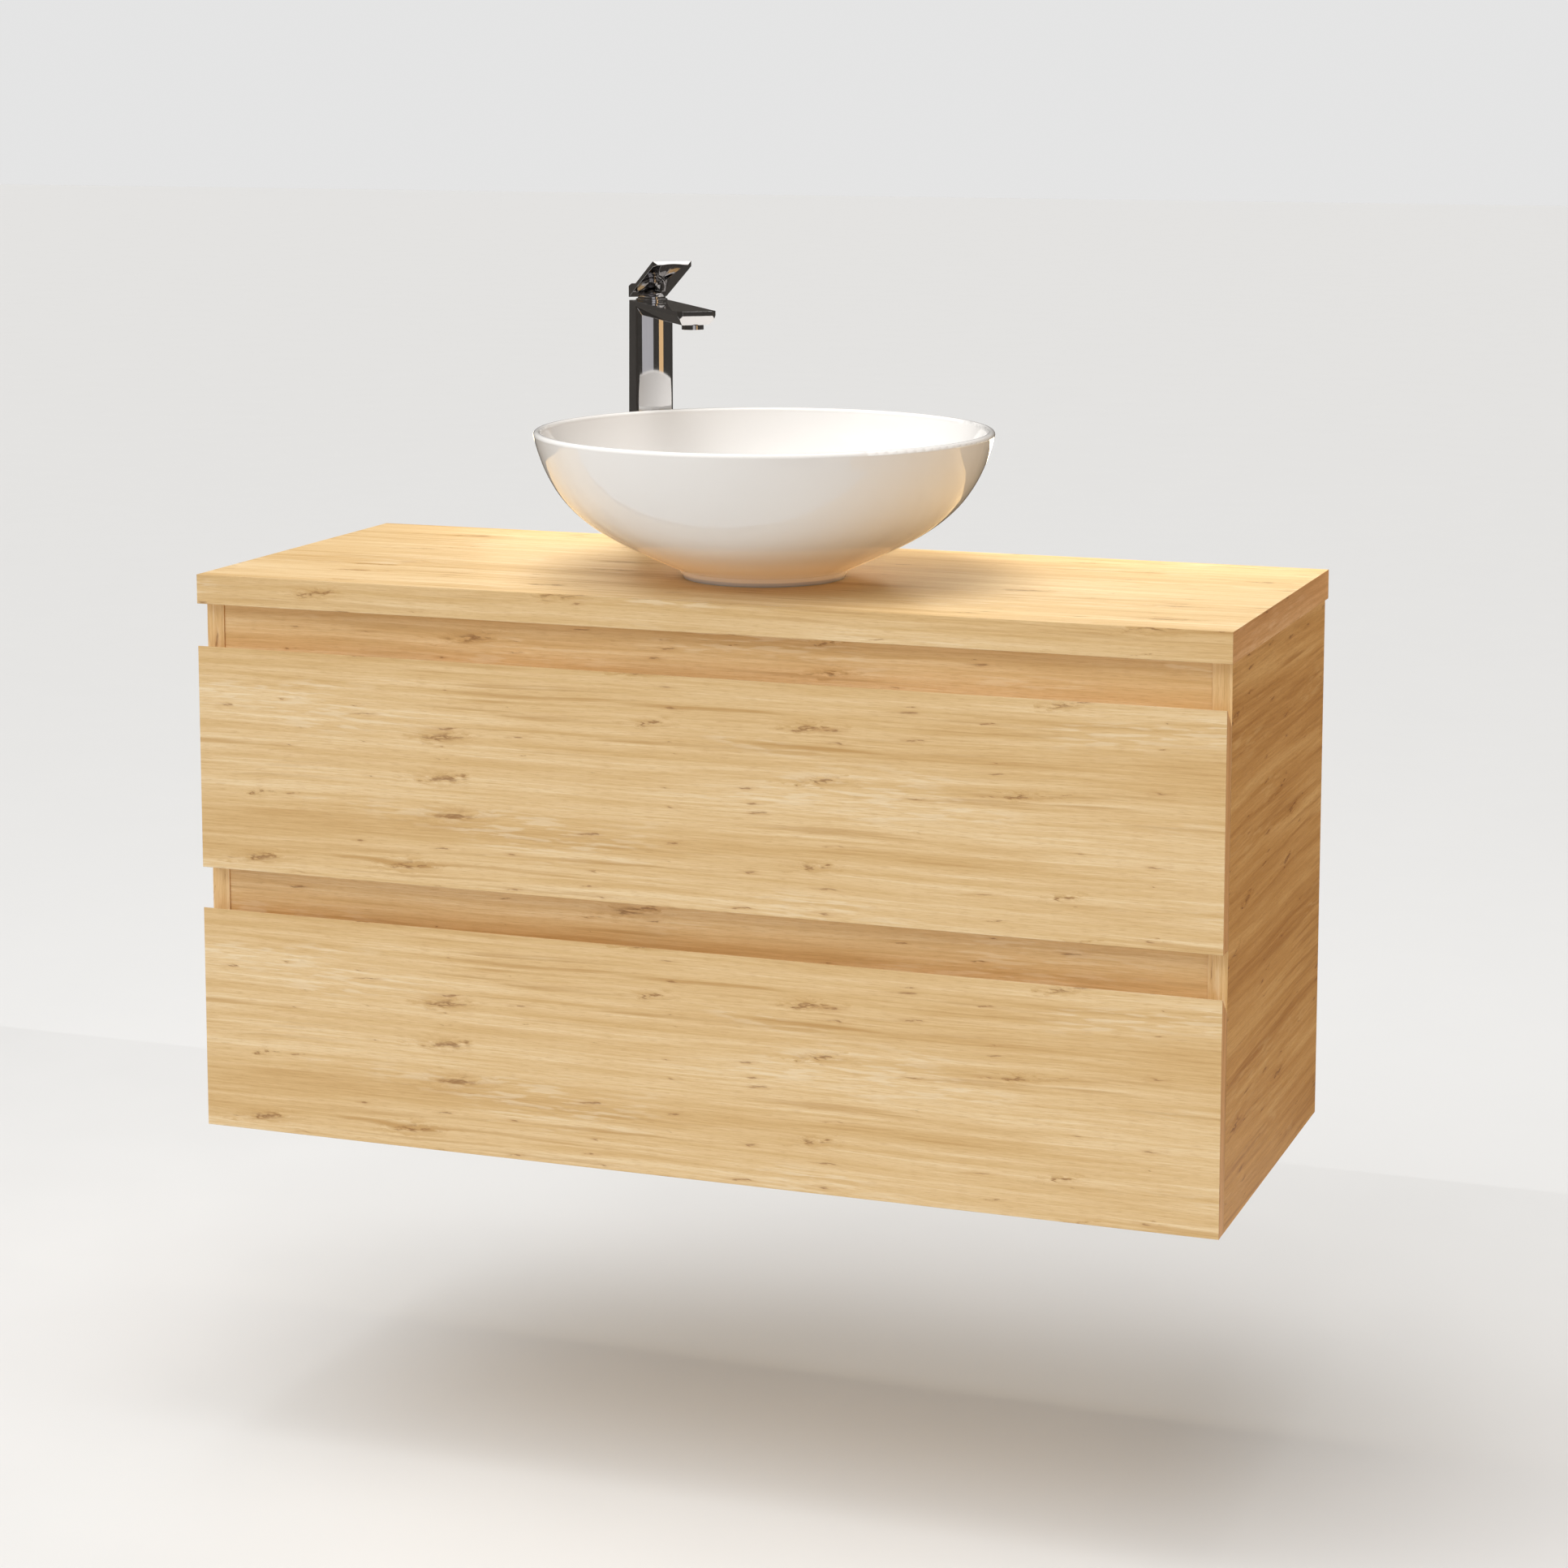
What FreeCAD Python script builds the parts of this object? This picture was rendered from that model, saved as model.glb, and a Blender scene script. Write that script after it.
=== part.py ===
import FreeCAD, Part
import math
import os

# A wall-hung two-drawer vanity with a round countertop basin, a bottle trap and a single-lever tap.
#
# Frame: +X to the right, +Y into the wall, +Z up, millimetres. The wall is the plane y = 0 and the
# cabinet hangs in front of it. The origin is the centre of the four wall screws of the hanging plates.
# Heights called "height above base" are measured from the underside of the cabinet.

# ---------------------------------------------------------------- driving dimensions

# Carcass
CABINET_WIDTH = 1000.0
CABINET_DEPTH = 390.0
CABINET_HEIGHT = 510.0
BOARD = 18.0
HANG_HEIGHT = 475.0
BACK_THICKNESS = 8.0
BACK_INSET = 15.0
FASCIA_INSET = 1.0
TOP_RAIL_HEIGHT = 63.0
MIDDLE_RAIL_BOTTOM = 192.0
MIDDLE_RAIL_TOP = 270.0
REAR_RAIL_FRONT = 104.0
REAR_RAIL_HEIGHT = 70.0

# Countertop
TOP_THICKNESS = 28.0
TOP_OVERHANG = 3.0
TOP_DEPTH = 404.0

# Drawer fronts
FRONT_THICKNESS = 18.0
FRONT_HEIGHT = 215.0
FRONT_GAP = 1.0
GRIP_DROP = 17.0
GRIP_LAND = 0.8
UPPER_FRONT_BASE = 255.0

# Drawer boxes
DRAWER_SIDE = 15.0
DRAWER_BOTTOM = 12.0
DRAWER_LENGTH = 345.0
UPPER_BOX_BASE = 284.0
UPPER_BOX_HEIGHT = 130.0
LOWER_BOX_BASE = 30.0
LOWER_BOX_HEIGHT = 135.0

# Drawer slides
SLIDE_GAP = 13.0
SLIDE_LENGTH = 345.0
SLIDE_SETBACK = 4.0
SLIDE_STEEL = 1.4
UPPER_SLIDE_HEIGHT = 349.0
LOWER_SLIDE_HEIGHT = 97.0

# Trap recess in the upper drawer
RECESS_HALF_WIDTH = 70.0
RECESS_FRONT = 300.0
RECESS_CORNER = 40.0
RECESS_WALL = 4.0

# Basin
BASIN_X = 8.0
BASIN_Y = -226.5
BASIN_HEIGHT = 140.0
BASIN_RADIUS = 218.0
RIM_THICKNESS = 7.6
FOOT_RADIUS = 77.5

# Waste and trap, heights below the countertop surface are negative
TAIL_RADIUS = 20.5
TAIL_BOTTOM = -70.0
PIPE_RADIUS = 16.0
PIPE_WALL = 1.2
OUTLET_DEPTH = -134.0
PLUG_TRAVEL = 8.0

# Tap, in its own frame: x along the spout, z above the countertop surface
TAP_X = -175.0
TAP_Y = -60.0
SPOUT_TURN = -52.4
SPOUT_TOP = 247.0
SPOUT_REACH = 168.5
SPOUT_HALF_WIDTH = 19.1
SPOUT_BAND = 4.5
SPOUT_BOTTOM = 233.5
SPOUT_UNDER_HALF = 13.5
SPOUT_NOSE = 7.5
SPOUT_CORNER = 4.2
COLUMN_FRONT = 17.0
COLUMN_BACK_TOP = -13.0
COLUMN_BACK_BASE = -19.0
COLUMN_BULGE = 3.2
COLUMN_EDGE = 4.0
STEM_X = 2.6
PIVOT_HEIGHT = 240.0
LEVER_HALF_WIDTH = 19.7
AERATOR_X = 151.0
INLET_RADIUS = 5.0

# General
PILOT_CLEARANCE = 0.05
WALL_SCREW_X = 448.0
WALL_SCREW_Z = 18.0

# ---------------------------------------------------------------- derived positions

V = FreeCAD.Vector
X_AXIS = V(1, 0, 0)
Y_AXIS = V(0, 1, 0)
Z_AXIS = V(0, 0, 1)

HALF = CABINET_WIDTH / 2
INNER = HALF - BOARD
CARCASS_FRONT = -CABINET_DEPTH
BACK_FRONT_FACE = -(BACK_INSET + BACK_THICKNESS)
RAIL_FRONT_FACE = CARCASS_FRONT + FASCIA_INSET
RAIL_MIDDLE = RAIL_FRONT_FACE + BOARD / 2
FRONT_BACK_FACE = CARCASS_FRONT - FRONT_GAP
FRONT_FACE = FRONT_BACK_FACE - FRONT_THICKNESS
DRAWER_OUTER = INNER - SLIDE_GAP
DRAWER_INNER = DRAWER_OUTER - DRAWER_SIDE
DRAWER_REAR = FRONT_BACK_FACE + DRAWER_LENGTH
RECESS_CLEARANCE = 0.3


def above_base(height):
    """The z of a height above the cabinet's underside."""
    return height - HANG_HEIGHT


def above_top(height):
    """The z of a height above the countertop surface."""
    return above_base(CABINET_HEIGHT + TOP_THICKNESS) + height


# ---------------------------------------------------------------- shape helpers

def box(x_range, y_range, z_range):
    """A block from three (low, high) ranges, in either order."""
    x0, x1 = sorted(x_range)
    y0, y1 = sorted(y_range)
    z0, z1 = sorted(z_range)
    return Part.makeBox(x1 - x0, y1 - y0, z1 - z0, V(x0, y0, z0))


def board(x_range, y_range, height_range):
    """A block whose z range is given as heights above the cabinet's underside."""
    low, high = height_range
    return box(x_range, y_range, (above_base(low), above_base(high)))


def rod(radius, start, axis, length):
    return Part.makeCylinder(radius, length, start, axis)


def tube(outer, inner, start, axis, length):
    return rod(outer, start, axis, length).cut(rod(inner, start, axis, length))


def prism(corners, travel):
    """A flat polygon swept along a vector."""
    loop = corners + [corners[0]]
    return Part.Face(Part.makePolygon(loop)).extrude(travel)


def hexagon(radius, base, height, hole):
    """A hexagonal nut along Z, given its corner radius and its bore radius."""
    corners = []
    for step in range(6):
        angle = math.radians(60 * step)
        corners.append(base + V(radius * math.cos(angle), radius * math.sin(angle), 0))
    nut = prism(corners, V(0, 0, height))
    return nut.cut(rod(hole, base, Z_AXIS, height))


def turned(edges, centre):
    """A ring or disc turned about the vertical axis through centre from profile edges in the XZ plane."""
    solid = Part.Face(Part.Wire(edges)).revolve(V(0, 0, 0), Z_AXIS, 360)
    solid.translate(centre)
    return solid


def line(start, end):
    return Part.LineSegment(V(start[0], 0, start[1]), V(end[0], 0, end[1])).toShape()


def chain(points):
    """Straight profile edges through (radius, height) points."""
    return [line(start, end) for start, end in zip(points, points[1:])]


def curve(poles):
    """A cubic profile edge through (radius, height) control points."""
    bezier = Part.BezierCurve()
    bezier.setPoles([V(radius, 0, height) for radius, height in poles])
    return bezier.toShape()


def mirrored(shape):
    return shape.mirror(V(0, 0, 0), X_AXIS)


def both_sides(shape):
    """The right-hand shape and its left-hand mirror image."""
    return [shape, mirrored(shape)]


def one_solid(shape):
    """The single solid inside a boolean result."""
    clean = shape.removeSplitter()
    assert len(clean.Solids) == 1
    return clean.Solids[0]


def group(shapes):
    solids = []
    for shape in shapes:
        solids += shape.Solids
    return Part.makeCompound(solids)


# ---------------------------------------------------------------- small fasteners

SCREW_RADIUS = 2.0
SCREW_LENGTH = 14.0
SCREW_HEAD_RADIUS = 3.6
SCREW_HEAD_HEIGHT = 1.6
BRACKET_STEEL = 2.0


def wood_screw(seat, direction):
    """A pan-head screw: its head stands on the seat and its shank runs along direction."""
    head = rod(SCREW_HEAD_RADIUS, seat - direction * SCREW_HEAD_HEIGHT, direction, SCREW_HEAD_HEIGHT)
    return one_solid(head.fuse(rod(SCREW_RADIUS, seat, direction, SCREW_LENGTH)))


def pilot(seat, direction):
    """The hole that a wood screw fills, in bracket and board alike."""
    return rod(SCREW_RADIUS + PILOT_CLEARANCE, seat, direction, SCREW_LENGTH + 1)


# ---------------------------------------------------------------- carcass joints

DOWEL_RADIUS = 4.0
DOWEL_IN_SIDE = 10.0
DOWEL_IN_BOARD = 20.0
CAM_RADIUS = 7.5
CAM_DEPTH = 12.5
CAM_BACKSET = 34.0
CAM_BOLT_RADIUS = 3.0
CAM_BOLT_IN_SIDE = 11.0
FIT_GAP = 0.15
BOARD_MIDDLE = BOARD / 2
REAR_RAIL_MIDDLE = -REAR_RAIL_FRONT + BOARD / 2

# Every dowel is (y, height above base); its axis runs along X through the side panel's inner face.
DOWELS = [(-340.0, BOARD_MIDDLE), (-60.0, BOARD_MIDDLE), (RAIL_MIDDLE, 462.0), (RAIL_MIDDLE, 210.0),
          (RAIL_MIDDLE, 254.0), (REAR_RAIL_MIDDLE, 447.0)]

# Every cam lock is (y, height above base, direction in which its disc faces out of the board).
CAMS = [(-280.0, BOARD_MIDDLE, V(0, 0, -1)), (RAIL_MIDDLE, 490.0, V(0, 1, 0)),
        (RAIL_MIDDLE, 232.0, V(0, 1, 0)), (REAR_RAIL_MIDDLE, 485.0, V(0, -1, 0))]


def dowel(position, gap):
    y, height = position
    start = V(INNER - DOWEL_IN_BOARD - gap, y, above_base(height))
    return rod(DOWEL_RADIUS + gap, start, X_AXIS, DOWEL_IN_BOARD + DOWEL_IN_SIDE + 2 * gap)


def cam_lock(position, gap):
    """The slotted disc of a cam lock, or its pocket when gap is not zero."""
    y, height, facing = position
    centre = V(INNER - CAM_BACKSET, y, above_base(height))
    depth = CAM_DEPTH + gap
    disc = rod(CAM_RADIUS + gap, centre + facing * (BOARD / 2 - depth), facing, depth)
    if gap:
        return disc
    slot_half = 1.0
    slot_length = CAM_RADIUS * 1.4
    along = facing.cross(X_AXIS)
    corner = centre + facing * (BOARD / 2 - 2.0) - X_AXIS * slot_half - along * slot_length / 2
    slot = prism([corner, corner + X_AXIS * 2 * slot_half,
                  corner + X_AXIS * 2 * slot_half + along * slot_length,
                  corner + along * slot_length], facing * 3.0)
    return disc.cut(slot)


def cam_bolt(position, gap):
    y, height, _ = position
    reach = CAM_BACKSET - CAM_RADIUS - FIT_GAP
    start = V(INNER - reach, y, above_base(height))
    return rod(CAM_BOLT_RADIUS + gap, start, X_AXIS, reach + CAM_BOLT_IN_SIDE + gap)


def joint_cuts():
    """All dowel holes, cam pockets and bolt holes, on both sides."""
    tools = []
    for position in DOWELS:
        tools += both_sides(dowel(position, FIT_GAP))
    for position in CAMS:
        tools += both_sides(cam_lock(position, FIT_GAP))
        tools += both_sides(cam_bolt(position, FIT_GAP))
    return tools


# ---------------------------------------------------------------- hanging hardware

HOUSING_WIDTH = 22.0
HOUSING_DEPTH = 55.0
HOUSING_HALF_HEIGHT = 30.0
HOOK_X = INNER - HOUSING_WIDTH / 2
HOOK_HALF_WIDTH = 3.0
ADJUST_HEIGHTS = (25.5, -18.0)
ADJUST_RADIUS = 3.0
ADJUST_LENGTH = 38.0
ADJUST_HEAD = 3.0
ACCESS_RADIUS = 4.5
CAVITY_HALF_WIDTH = 5.0
CAVITY_WALL = 6.0
CAVITY_HEIGHTS = (-6.0, 20.0)
HOOK_PROFILE = [(-60, 2), (-60, 14), (-4, 14), (-4, -8), (-8, -8), (-8, 2)]
PLATE_STEEL = 3.0
PLATE_HALF_HEIGHT = 32.0
PLATE_HOLE_RADIUS = 2.75
CHANNEL_HALF_WIDTH = 9.0
CHANNEL_FRONT = -12.0
CHANNEL_BOTTOM = -14.0


def hanger_housing():
    """The plastic housing screwed into the rear top corner, right-hand side."""
    front = BACK_FRONT_FACE - HOUSING_DEPTH
    body = box((INNER - HOUSING_WIDTH, INNER), (front, BACK_FRONT_FACE),
               (-HOUSING_HALF_HEIGHT, HOUSING_HALF_HEIGHT))
    cavity = box((HOOK_X - CAVITY_HALF_WIDTH, HOOK_X + CAVITY_HALF_WIDTH),
                 (front + CAVITY_WALL, BACK_FRONT_FACE), CAVITY_HEIGHTS)
    body = body.cut(cavity)
    for height in ADJUST_HEIGHTS:
        body = body.cut(rod(ADJUST_RADIUS + 0.3, V(HOOK_X, front, height), Y_AXIS, ADJUST_LENGTH + 2))
    return one_solid(body)


def adjusting_screws():
    """The two screws that lift the cabinet and pull it to the wall, right-hand side."""
    front = BACK_FRONT_FACE - HOUSING_DEPTH
    screws = []
    for height in ADJUST_HEIGHTS:
        head = rod(ADJUST_RADIUS + 1, V(HOOK_X, front - ADJUST_HEAD, height), Y_AXIS, ADJUST_HEAD)
        shank = rod(ADJUST_RADIUS, V(HOOK_X, front, height), Y_AXIS, ADJUST_LENGTH)
        recess = box((HOOK_X - ADJUST_RADIUS, HOOK_X + ADJUST_RADIUS),
                     (front - ADJUST_HEAD, front - ADJUST_HEAD / 2), (height - 0.6, height + 0.6))
        screws.append(one_solid(head.fuse(shank).cut(recess)))
    return screws


def hanger_hook():
    """The steel hook that leaves the housing and drops into the wall plate's channel."""
    corners = [V(HOOK_X - HOOK_HALF_WIDTH, y, z) for y, z in HOOK_PROFILE]
    return prism(corners, V(2 * HOOK_HALF_WIDTH, 0, 0))


def wall_plate():
    """The plate screwed to the wall, with the upturned channel that carries the hook."""
    width = (HOOK_X - CHANNEL_HALF_WIDTH, HOOK_X + CHANNEL_HALF_WIDTH)
    plate = box((WALL_SCREW_X - 12, INNER - 1), (-PLATE_STEEL, 0), (-PLATE_HALF_HEIGHT, PLATE_HALF_HEIGHT))
    floor = box(width, (CHANNEL_FRONT, -PLATE_STEEL), (CHANNEL_BOTTOM, CHANNEL_BOTTOM + 2.5))
    lip = box(width, (CHANNEL_FRONT, CHANNEL_FRONT + 2), (CHANNEL_BOTTOM, 0))
    plate = plate.fuse([floor, lip])
    for height in (-WALL_SCREW_Z, WALL_SCREW_Z):
        plate = plate.cut(rod(PLATE_HOLE_RADIUS, V(WALL_SCREW_X, -PLATE_STEEL, height), Y_AXIS, PLATE_STEEL))
    return one_solid(plate)


# ---------------------------------------------------------------- carcass

BRACKET_LEG = 30.0
BRACKET_WIDTH = 20.0
BRACKET_ROWS = (-330.0, -140.0)
BRACKET_TOP_SCREW = 20.0
HOOK_SLOT_HEIGHTS = (-12.0, 24.0)
SERVICE_HALF_WIDTH = 160.0
SERVICE_BASE = 265.0
SERVICE_TOP = 430.0
SERVICE_CORNER = 25.0
WASTE_HOLE_RADIUS = 24.0
TAP_HOLE_RADIUS = 15.5


def top_bracket_screws():
    """(seat, direction) of every screw in the right-hand countertop brackets."""
    seats = []
    for y in BRACKET_ROWS:
        top_seat = V(INNER - BRACKET_TOP_SCREW, y, above_base(CABINET_HEIGHT) - BRACKET_STEEL)
        side_seat = V(INNER - BRACKET_STEEL, y, above_base(CABINET_HEIGHT) - BRACKET_TOP_SCREW)
        seats.append((top_seat, Z_AXIS))
        seats.append((side_seat, X_AXIS))
    return seats


def countertop_brackets():
    """Two steel angles under the countertop, right-hand side."""
    brackets = []
    top = above_base(CABINET_HEIGHT)
    pilots = [pilot(seat, direction) for seat, direction in top_bracket_screws()]
    for y in BRACKET_ROWS:
        width = (y - BRACKET_WIDTH / 2, y + BRACKET_WIDTH / 2)
        flat = box((INNER - BRACKET_LEG, INNER), width, (top - BRACKET_STEEL, top))
        upright = box((INNER - BRACKET_STEEL, INNER), width, (top - BRACKET_LEG, top))
        brackets.append(one_solid(flat.fuse(upright).cut(pilots)))
    return brackets


def rounded_opening(half_width, low, high, corner, y_range, centre_x):
    """A block with rounded corners that cuts an opening through a board facing along Y."""
    block = box((centre_x - half_width, centre_x + half_width), y_range, (low, high))
    upright = [edge for edge in block.Edges if abs(edge.tangentAt(0).y) > 0.9]
    return block.makeFillet(corner, upright)


def carcass():
    cuts = joint_cuts()
    bracket_pilots = []
    for seat, direction in top_bracket_screws():
        bracket_pilots += both_sides(pilot(seat, direction))
    full = (0, CABINET_HEIGHT)
    side = board((INNER, HALF), (CARCASS_FRONT, 0), full)
    bottom = board((-INNER, INNER), (RAIL_FRONT_FACE, -BACK_INSET), (0, BOARD))
    fascia_depth = (RAIL_FRONT_FACE, RAIL_FRONT_FACE + BOARD)
    top_rail = board((-INNER, INNER), fascia_depth, (CABINET_HEIGHT - TOP_RAIL_HEIGHT, CABINET_HEIGHT))
    middle_rail = board((-INNER, INNER), fascia_depth, (MIDDLE_RAIL_BOTTOM, MIDDLE_RAIL_TOP))
    rear_rail = board((-INNER, INNER), (-REAR_RAIL_FRONT, -REAR_RAIL_FRONT + BOARD),
                      (CABINET_HEIGHT - REAR_RAIL_HEIGHT, CABINET_HEIGHT))
    access = []
    for height in ADJUST_HEIGHTS:
        access += both_sides(rod(ACCESS_RADIUS, V(HOOK_X, -REAR_RAIL_FRONT, height), Y_AXIS, BOARD))
    back = board((-INNER, INNER), (BACK_FRONT_FACE, -BACK_INSET), (BOARD, CABINET_HEIGHT))
    back_depth = (BACK_FRONT_FACE - 1, -BACK_INSET + 1)
    service = rounded_opening(SERVICE_HALF_WIDTH, above_base(SERVICE_BASE), above_base(SERVICE_TOP),
                              SERVICE_CORNER, back_depth, BASIN_X)
    hook_slot = box((HOOK_X - CHANNEL_HALF_WIDTH, HOOK_X + CHANNEL_HALF_WIDTH), back_depth, HOOK_SLOT_HEIGHTS)
    right_panel = one_solid(side.cut(cuts + bracket_pilots))
    return {
        "right_side_panel": right_panel,
        "left_side_panel": mirrored(right_panel),
        "bottom_panel": one_solid(bottom.cut(cuts)),
        "top_front_rail": one_solid(top_rail.cut(cuts)),
        "middle_rail": one_solid(middle_rail.cut(cuts)),
        "rear_top_rail": one_solid(rear_rail.cut(cuts + access)),
        "back_panel": one_solid(back.cut([service] + both_sides(hook_slot))),
        "countertop": countertop(bracket_pilots),
    }


def countertop(bracket_pilots):
    edge = HALF + TOP_OVERHANG
    slab = board((-edge, edge), (-TOP_DEPTH, 0), (CABINET_HEIGHT, CABINET_HEIGHT + TOP_THICKNESS))
    under = above_top(-TOP_THICKNESS)
    waste_hole = rod(WASTE_HOLE_RADIUS, V(BASIN_X, BASIN_Y, under), Z_AXIS, TOP_THICKNESS)
    tap_hole = rod(TAP_HOLE_RADIUS, V(TAP_X, TAP_Y, under), Z_AXIS, TOP_THICKNESS)
    return one_solid(slab.cut([waste_hole, tap_hole] + bracket_pilots))


def carcass_fittings():
    dowels = []
    cams = []
    for position in DOWELS:
        dowels += both_sides(dowel(position, 0.0))
    for position in CAMS:
        cams += both_sides(cam_lock(position, 0.0))
        cams += both_sides(cam_bolt(position, 0.0))
    brackets = []
    for bracket in countertop_brackets():
        brackets += both_sides(bracket)
    screws = []
    for seat, direction in top_bracket_screws():
        screws += both_sides(wood_screw(seat, direction))
    adjusters = []
    for screw in adjusting_screws():
        adjusters += both_sides(screw)
    return {
        "carcass_dowels": group(dowels),
        "cam_fittings": group(cams),
        "countertop_brackets": group(brackets),
        "bracket_screws": group(screws),
        "hanger_housings": group(both_sides(hanger_housing())),
        "hanger_adjusting_screws": group(adjusters),
        "hanger_hooks": group(both_sides(hanger_hook())),
        "wall_plates": group(both_sides(wall_plate())),
    }


# ---------------------------------------------------------------- drawer slides

SLIDE_HOLE_RADIUS = 2.25
SLIDE_HOLE_INSET = 20.0
OUTER_RAIL = (10.5, 22.5)
MIDDLE_RAIL = (6.9, 18.0)
INNER_RAIL = (6.5, 13.0)
MIDDLE_RAIL_INSET = 3.6


def channel(web_x, web_direction, size, height, holes):
    """A steel C-section along Y: its web lies at web_x, its flanges reach web_direction.

    The size is (flange depth, half height).
    """
    depth, half_height = size
    middle = above_base(height)
    front = CARCASS_FRONT + SLIDE_SETBACK
    run = (front, front + SLIDE_LENGTH)
    web = box((web_x, web_x + web_direction * SLIDE_STEEL), run, (middle - half_height, middle + half_height))
    flanges = []
    for edge in (-half_height, half_height - SLIDE_STEEL):
        reach = (web_x, web_x + web_direction * depth)
        flanges.append(box(reach, run, (middle + edge, middle + edge + SLIDE_STEEL)))
    section = web.fuse(flanges)
    if holes:
        back = front + SLIDE_LENGTH
        for y in (front + SLIDE_HOLE_INSET, front + SLIDE_LENGTH / 2, back - SLIDE_HOLE_INSET):
            section = section.cut(rod(SLIDE_HOLE_RADIUS, V(web_x - 2, y, middle), X_AXIS, 4))
    return one_solid(section)


def slide_set(name, height):
    outer = channel(INNER, -1, OUTER_RAIL, height, True)
    middle = channel(INNER - MIDDLE_RAIL_INSET, -1, MIDDLE_RAIL, height, False)
    inner = channel(DRAWER_OUTER, 1, INNER_RAIL, height, True)
    return {
        name + "_slide_outer_rails": group(both_sides(outer)),
        name + "_slide_middle_rails": group(both_sides(middle)),
        name + "_slide_inner_rails": group(both_sides(inner)),
    }


# ---------------------------------------------------------------- drawers

FIXING_HEIGHT = 60.0
FIXING_LEG = 30.0
FIXING_SCREW_OFFSET = 20.0
FIXING_SCREW_RISES = (15.0, 45.0)
PAD_RADIUS = 4.0
PAD_X = HALF - BOARD / 2
PAD_HEIGHTS = (15.0, 185.0)


def front_screws(box_base):
    """(seat, direction) of the screws in one right-hand corner fixing of a drawer front."""
    seats = []
    for rise in FIXING_SCREW_RISES:
        z = above_base(box_base + DRAWER_BOTTOM + rise)
        to_side = V(DRAWER_INNER - BRACKET_STEEL, FRONT_BACK_FACE + FIXING_SCREW_OFFSET, z)
        to_front = V(DRAWER_INNER - FIXING_SCREW_OFFSET, FRONT_BACK_FACE + BRACKET_STEEL, z)
        seats.append((to_side, X_AXIS))
        seats.append((to_front, V(0, -1, 0)))
    return seats


def front_fixing(box_base):
    """The steel angle that holds the front to the drawer's right side, and its screws."""
    low = box_base + DRAWER_BOTTOM
    heights = (low, low + FIXING_HEIGHT)
    on_side = board((DRAWER_INNER - BRACKET_STEEL, DRAWER_INNER),
                    (FRONT_BACK_FACE, FRONT_BACK_FACE + FIXING_LEG), heights)
    on_front = board((DRAWER_INNER - FIXING_LEG, DRAWER_INNER),
                     (FRONT_BACK_FACE, FRONT_BACK_FACE + BRACKET_STEEL), heights)
    seats = front_screws(box_base)
    angle = one_solid(on_side.fuse(on_front).cut([pilot(seat, along) for seat, along in seats]))
    return [angle] + [wood_screw(seat, along) for seat, along in seats]


def drawer_front(front_base, pilots):
    """A front with a square bottom edge and a top edge bevelled towards the back as a finger grip."""
    low = above_base(front_base)
    high = low + FRONT_HEIGHT
    profile = [(FRONT_FACE, low), (FRONT_BACK_FACE, low), (FRONT_BACK_FACE, high - GRIP_DROP),
               (FRONT_FACE + GRIP_LAND, high), (FRONT_FACE, high)]
    corners = [V(-HALF, y, z) for y, z in profile]
    return one_solid(prism(corners, V(CABINET_WIDTH, 0, 0)).cut(pilots))


def bumper_pads(front_base):
    pads = []
    for height in PAD_HEIGHTS:
        start = V(PAD_X, FRONT_BACK_FACE, above_base(front_base + height))
        pads += both_sides(rod(PAD_RADIUS, start, Y_AXIS, FRONT_GAP))
    return group(pads)


def drawer(name, front_base, box_base, box_height):
    """The pieces that every drawer has: front, two sides, corner fixings and bumper pads."""
    fixings = []
    pilots = []
    for piece in front_fixing(box_base):
        fixings += both_sides(piece)
    for seat, along in front_screws(box_base):
        pilots += both_sides(pilot(seat, along))
    side = board((DRAWER_INNER, DRAWER_OUTER), (FRONT_BACK_FACE, DRAWER_REAR),
                 (box_base, box_base + box_height))
    right = one_solid(side.cut(pilots))
    return {
        name + "_drawer_front": drawer_front(front_base, pilots),
        name + "_drawer_right_side": right,
        name + "_drawer_left_side": mirrored(right),
        name + "_drawer_front_fixings": group(fixings),
        name + "_drawer_bumper_pads": bumper_pads(front_base),
    }


def drawer_floor(box_base):
    return board((-DRAWER_INNER, DRAWER_INNER), (FRONT_BACK_FACE, DRAWER_REAR),
                 (box_base, box_base + DRAWER_BOTTOM))


def drawer_back(x_range, box_base, box_height):
    return board(x_range, (DRAWER_REAR - DRAWER_SIDE, DRAWER_REAR),
                 (box_base + DRAWER_BOTTOM, box_base + box_height))


def recess_block(inset, base, height):
    """The U-shaped recess around the trap, open to the rear, drawn inwards by inset."""
    half_width = RECESS_HALF_WIDTH - inset
    block = board((BASIN_X - half_width, BASIN_X + half_width), (-RECESS_FRONT + inset, DRAWER_REAR),
                  (base, base + height))
    front_corners = [edge for edge in block.Edges
                     if abs(edge.tangentAt(0).z) > 0.9 and edge.CenterOfMass.y < -RECESS_FRONT + inset + 1]
    return block.makeFillet(RECESS_CORNER - inset, front_corners)


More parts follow.
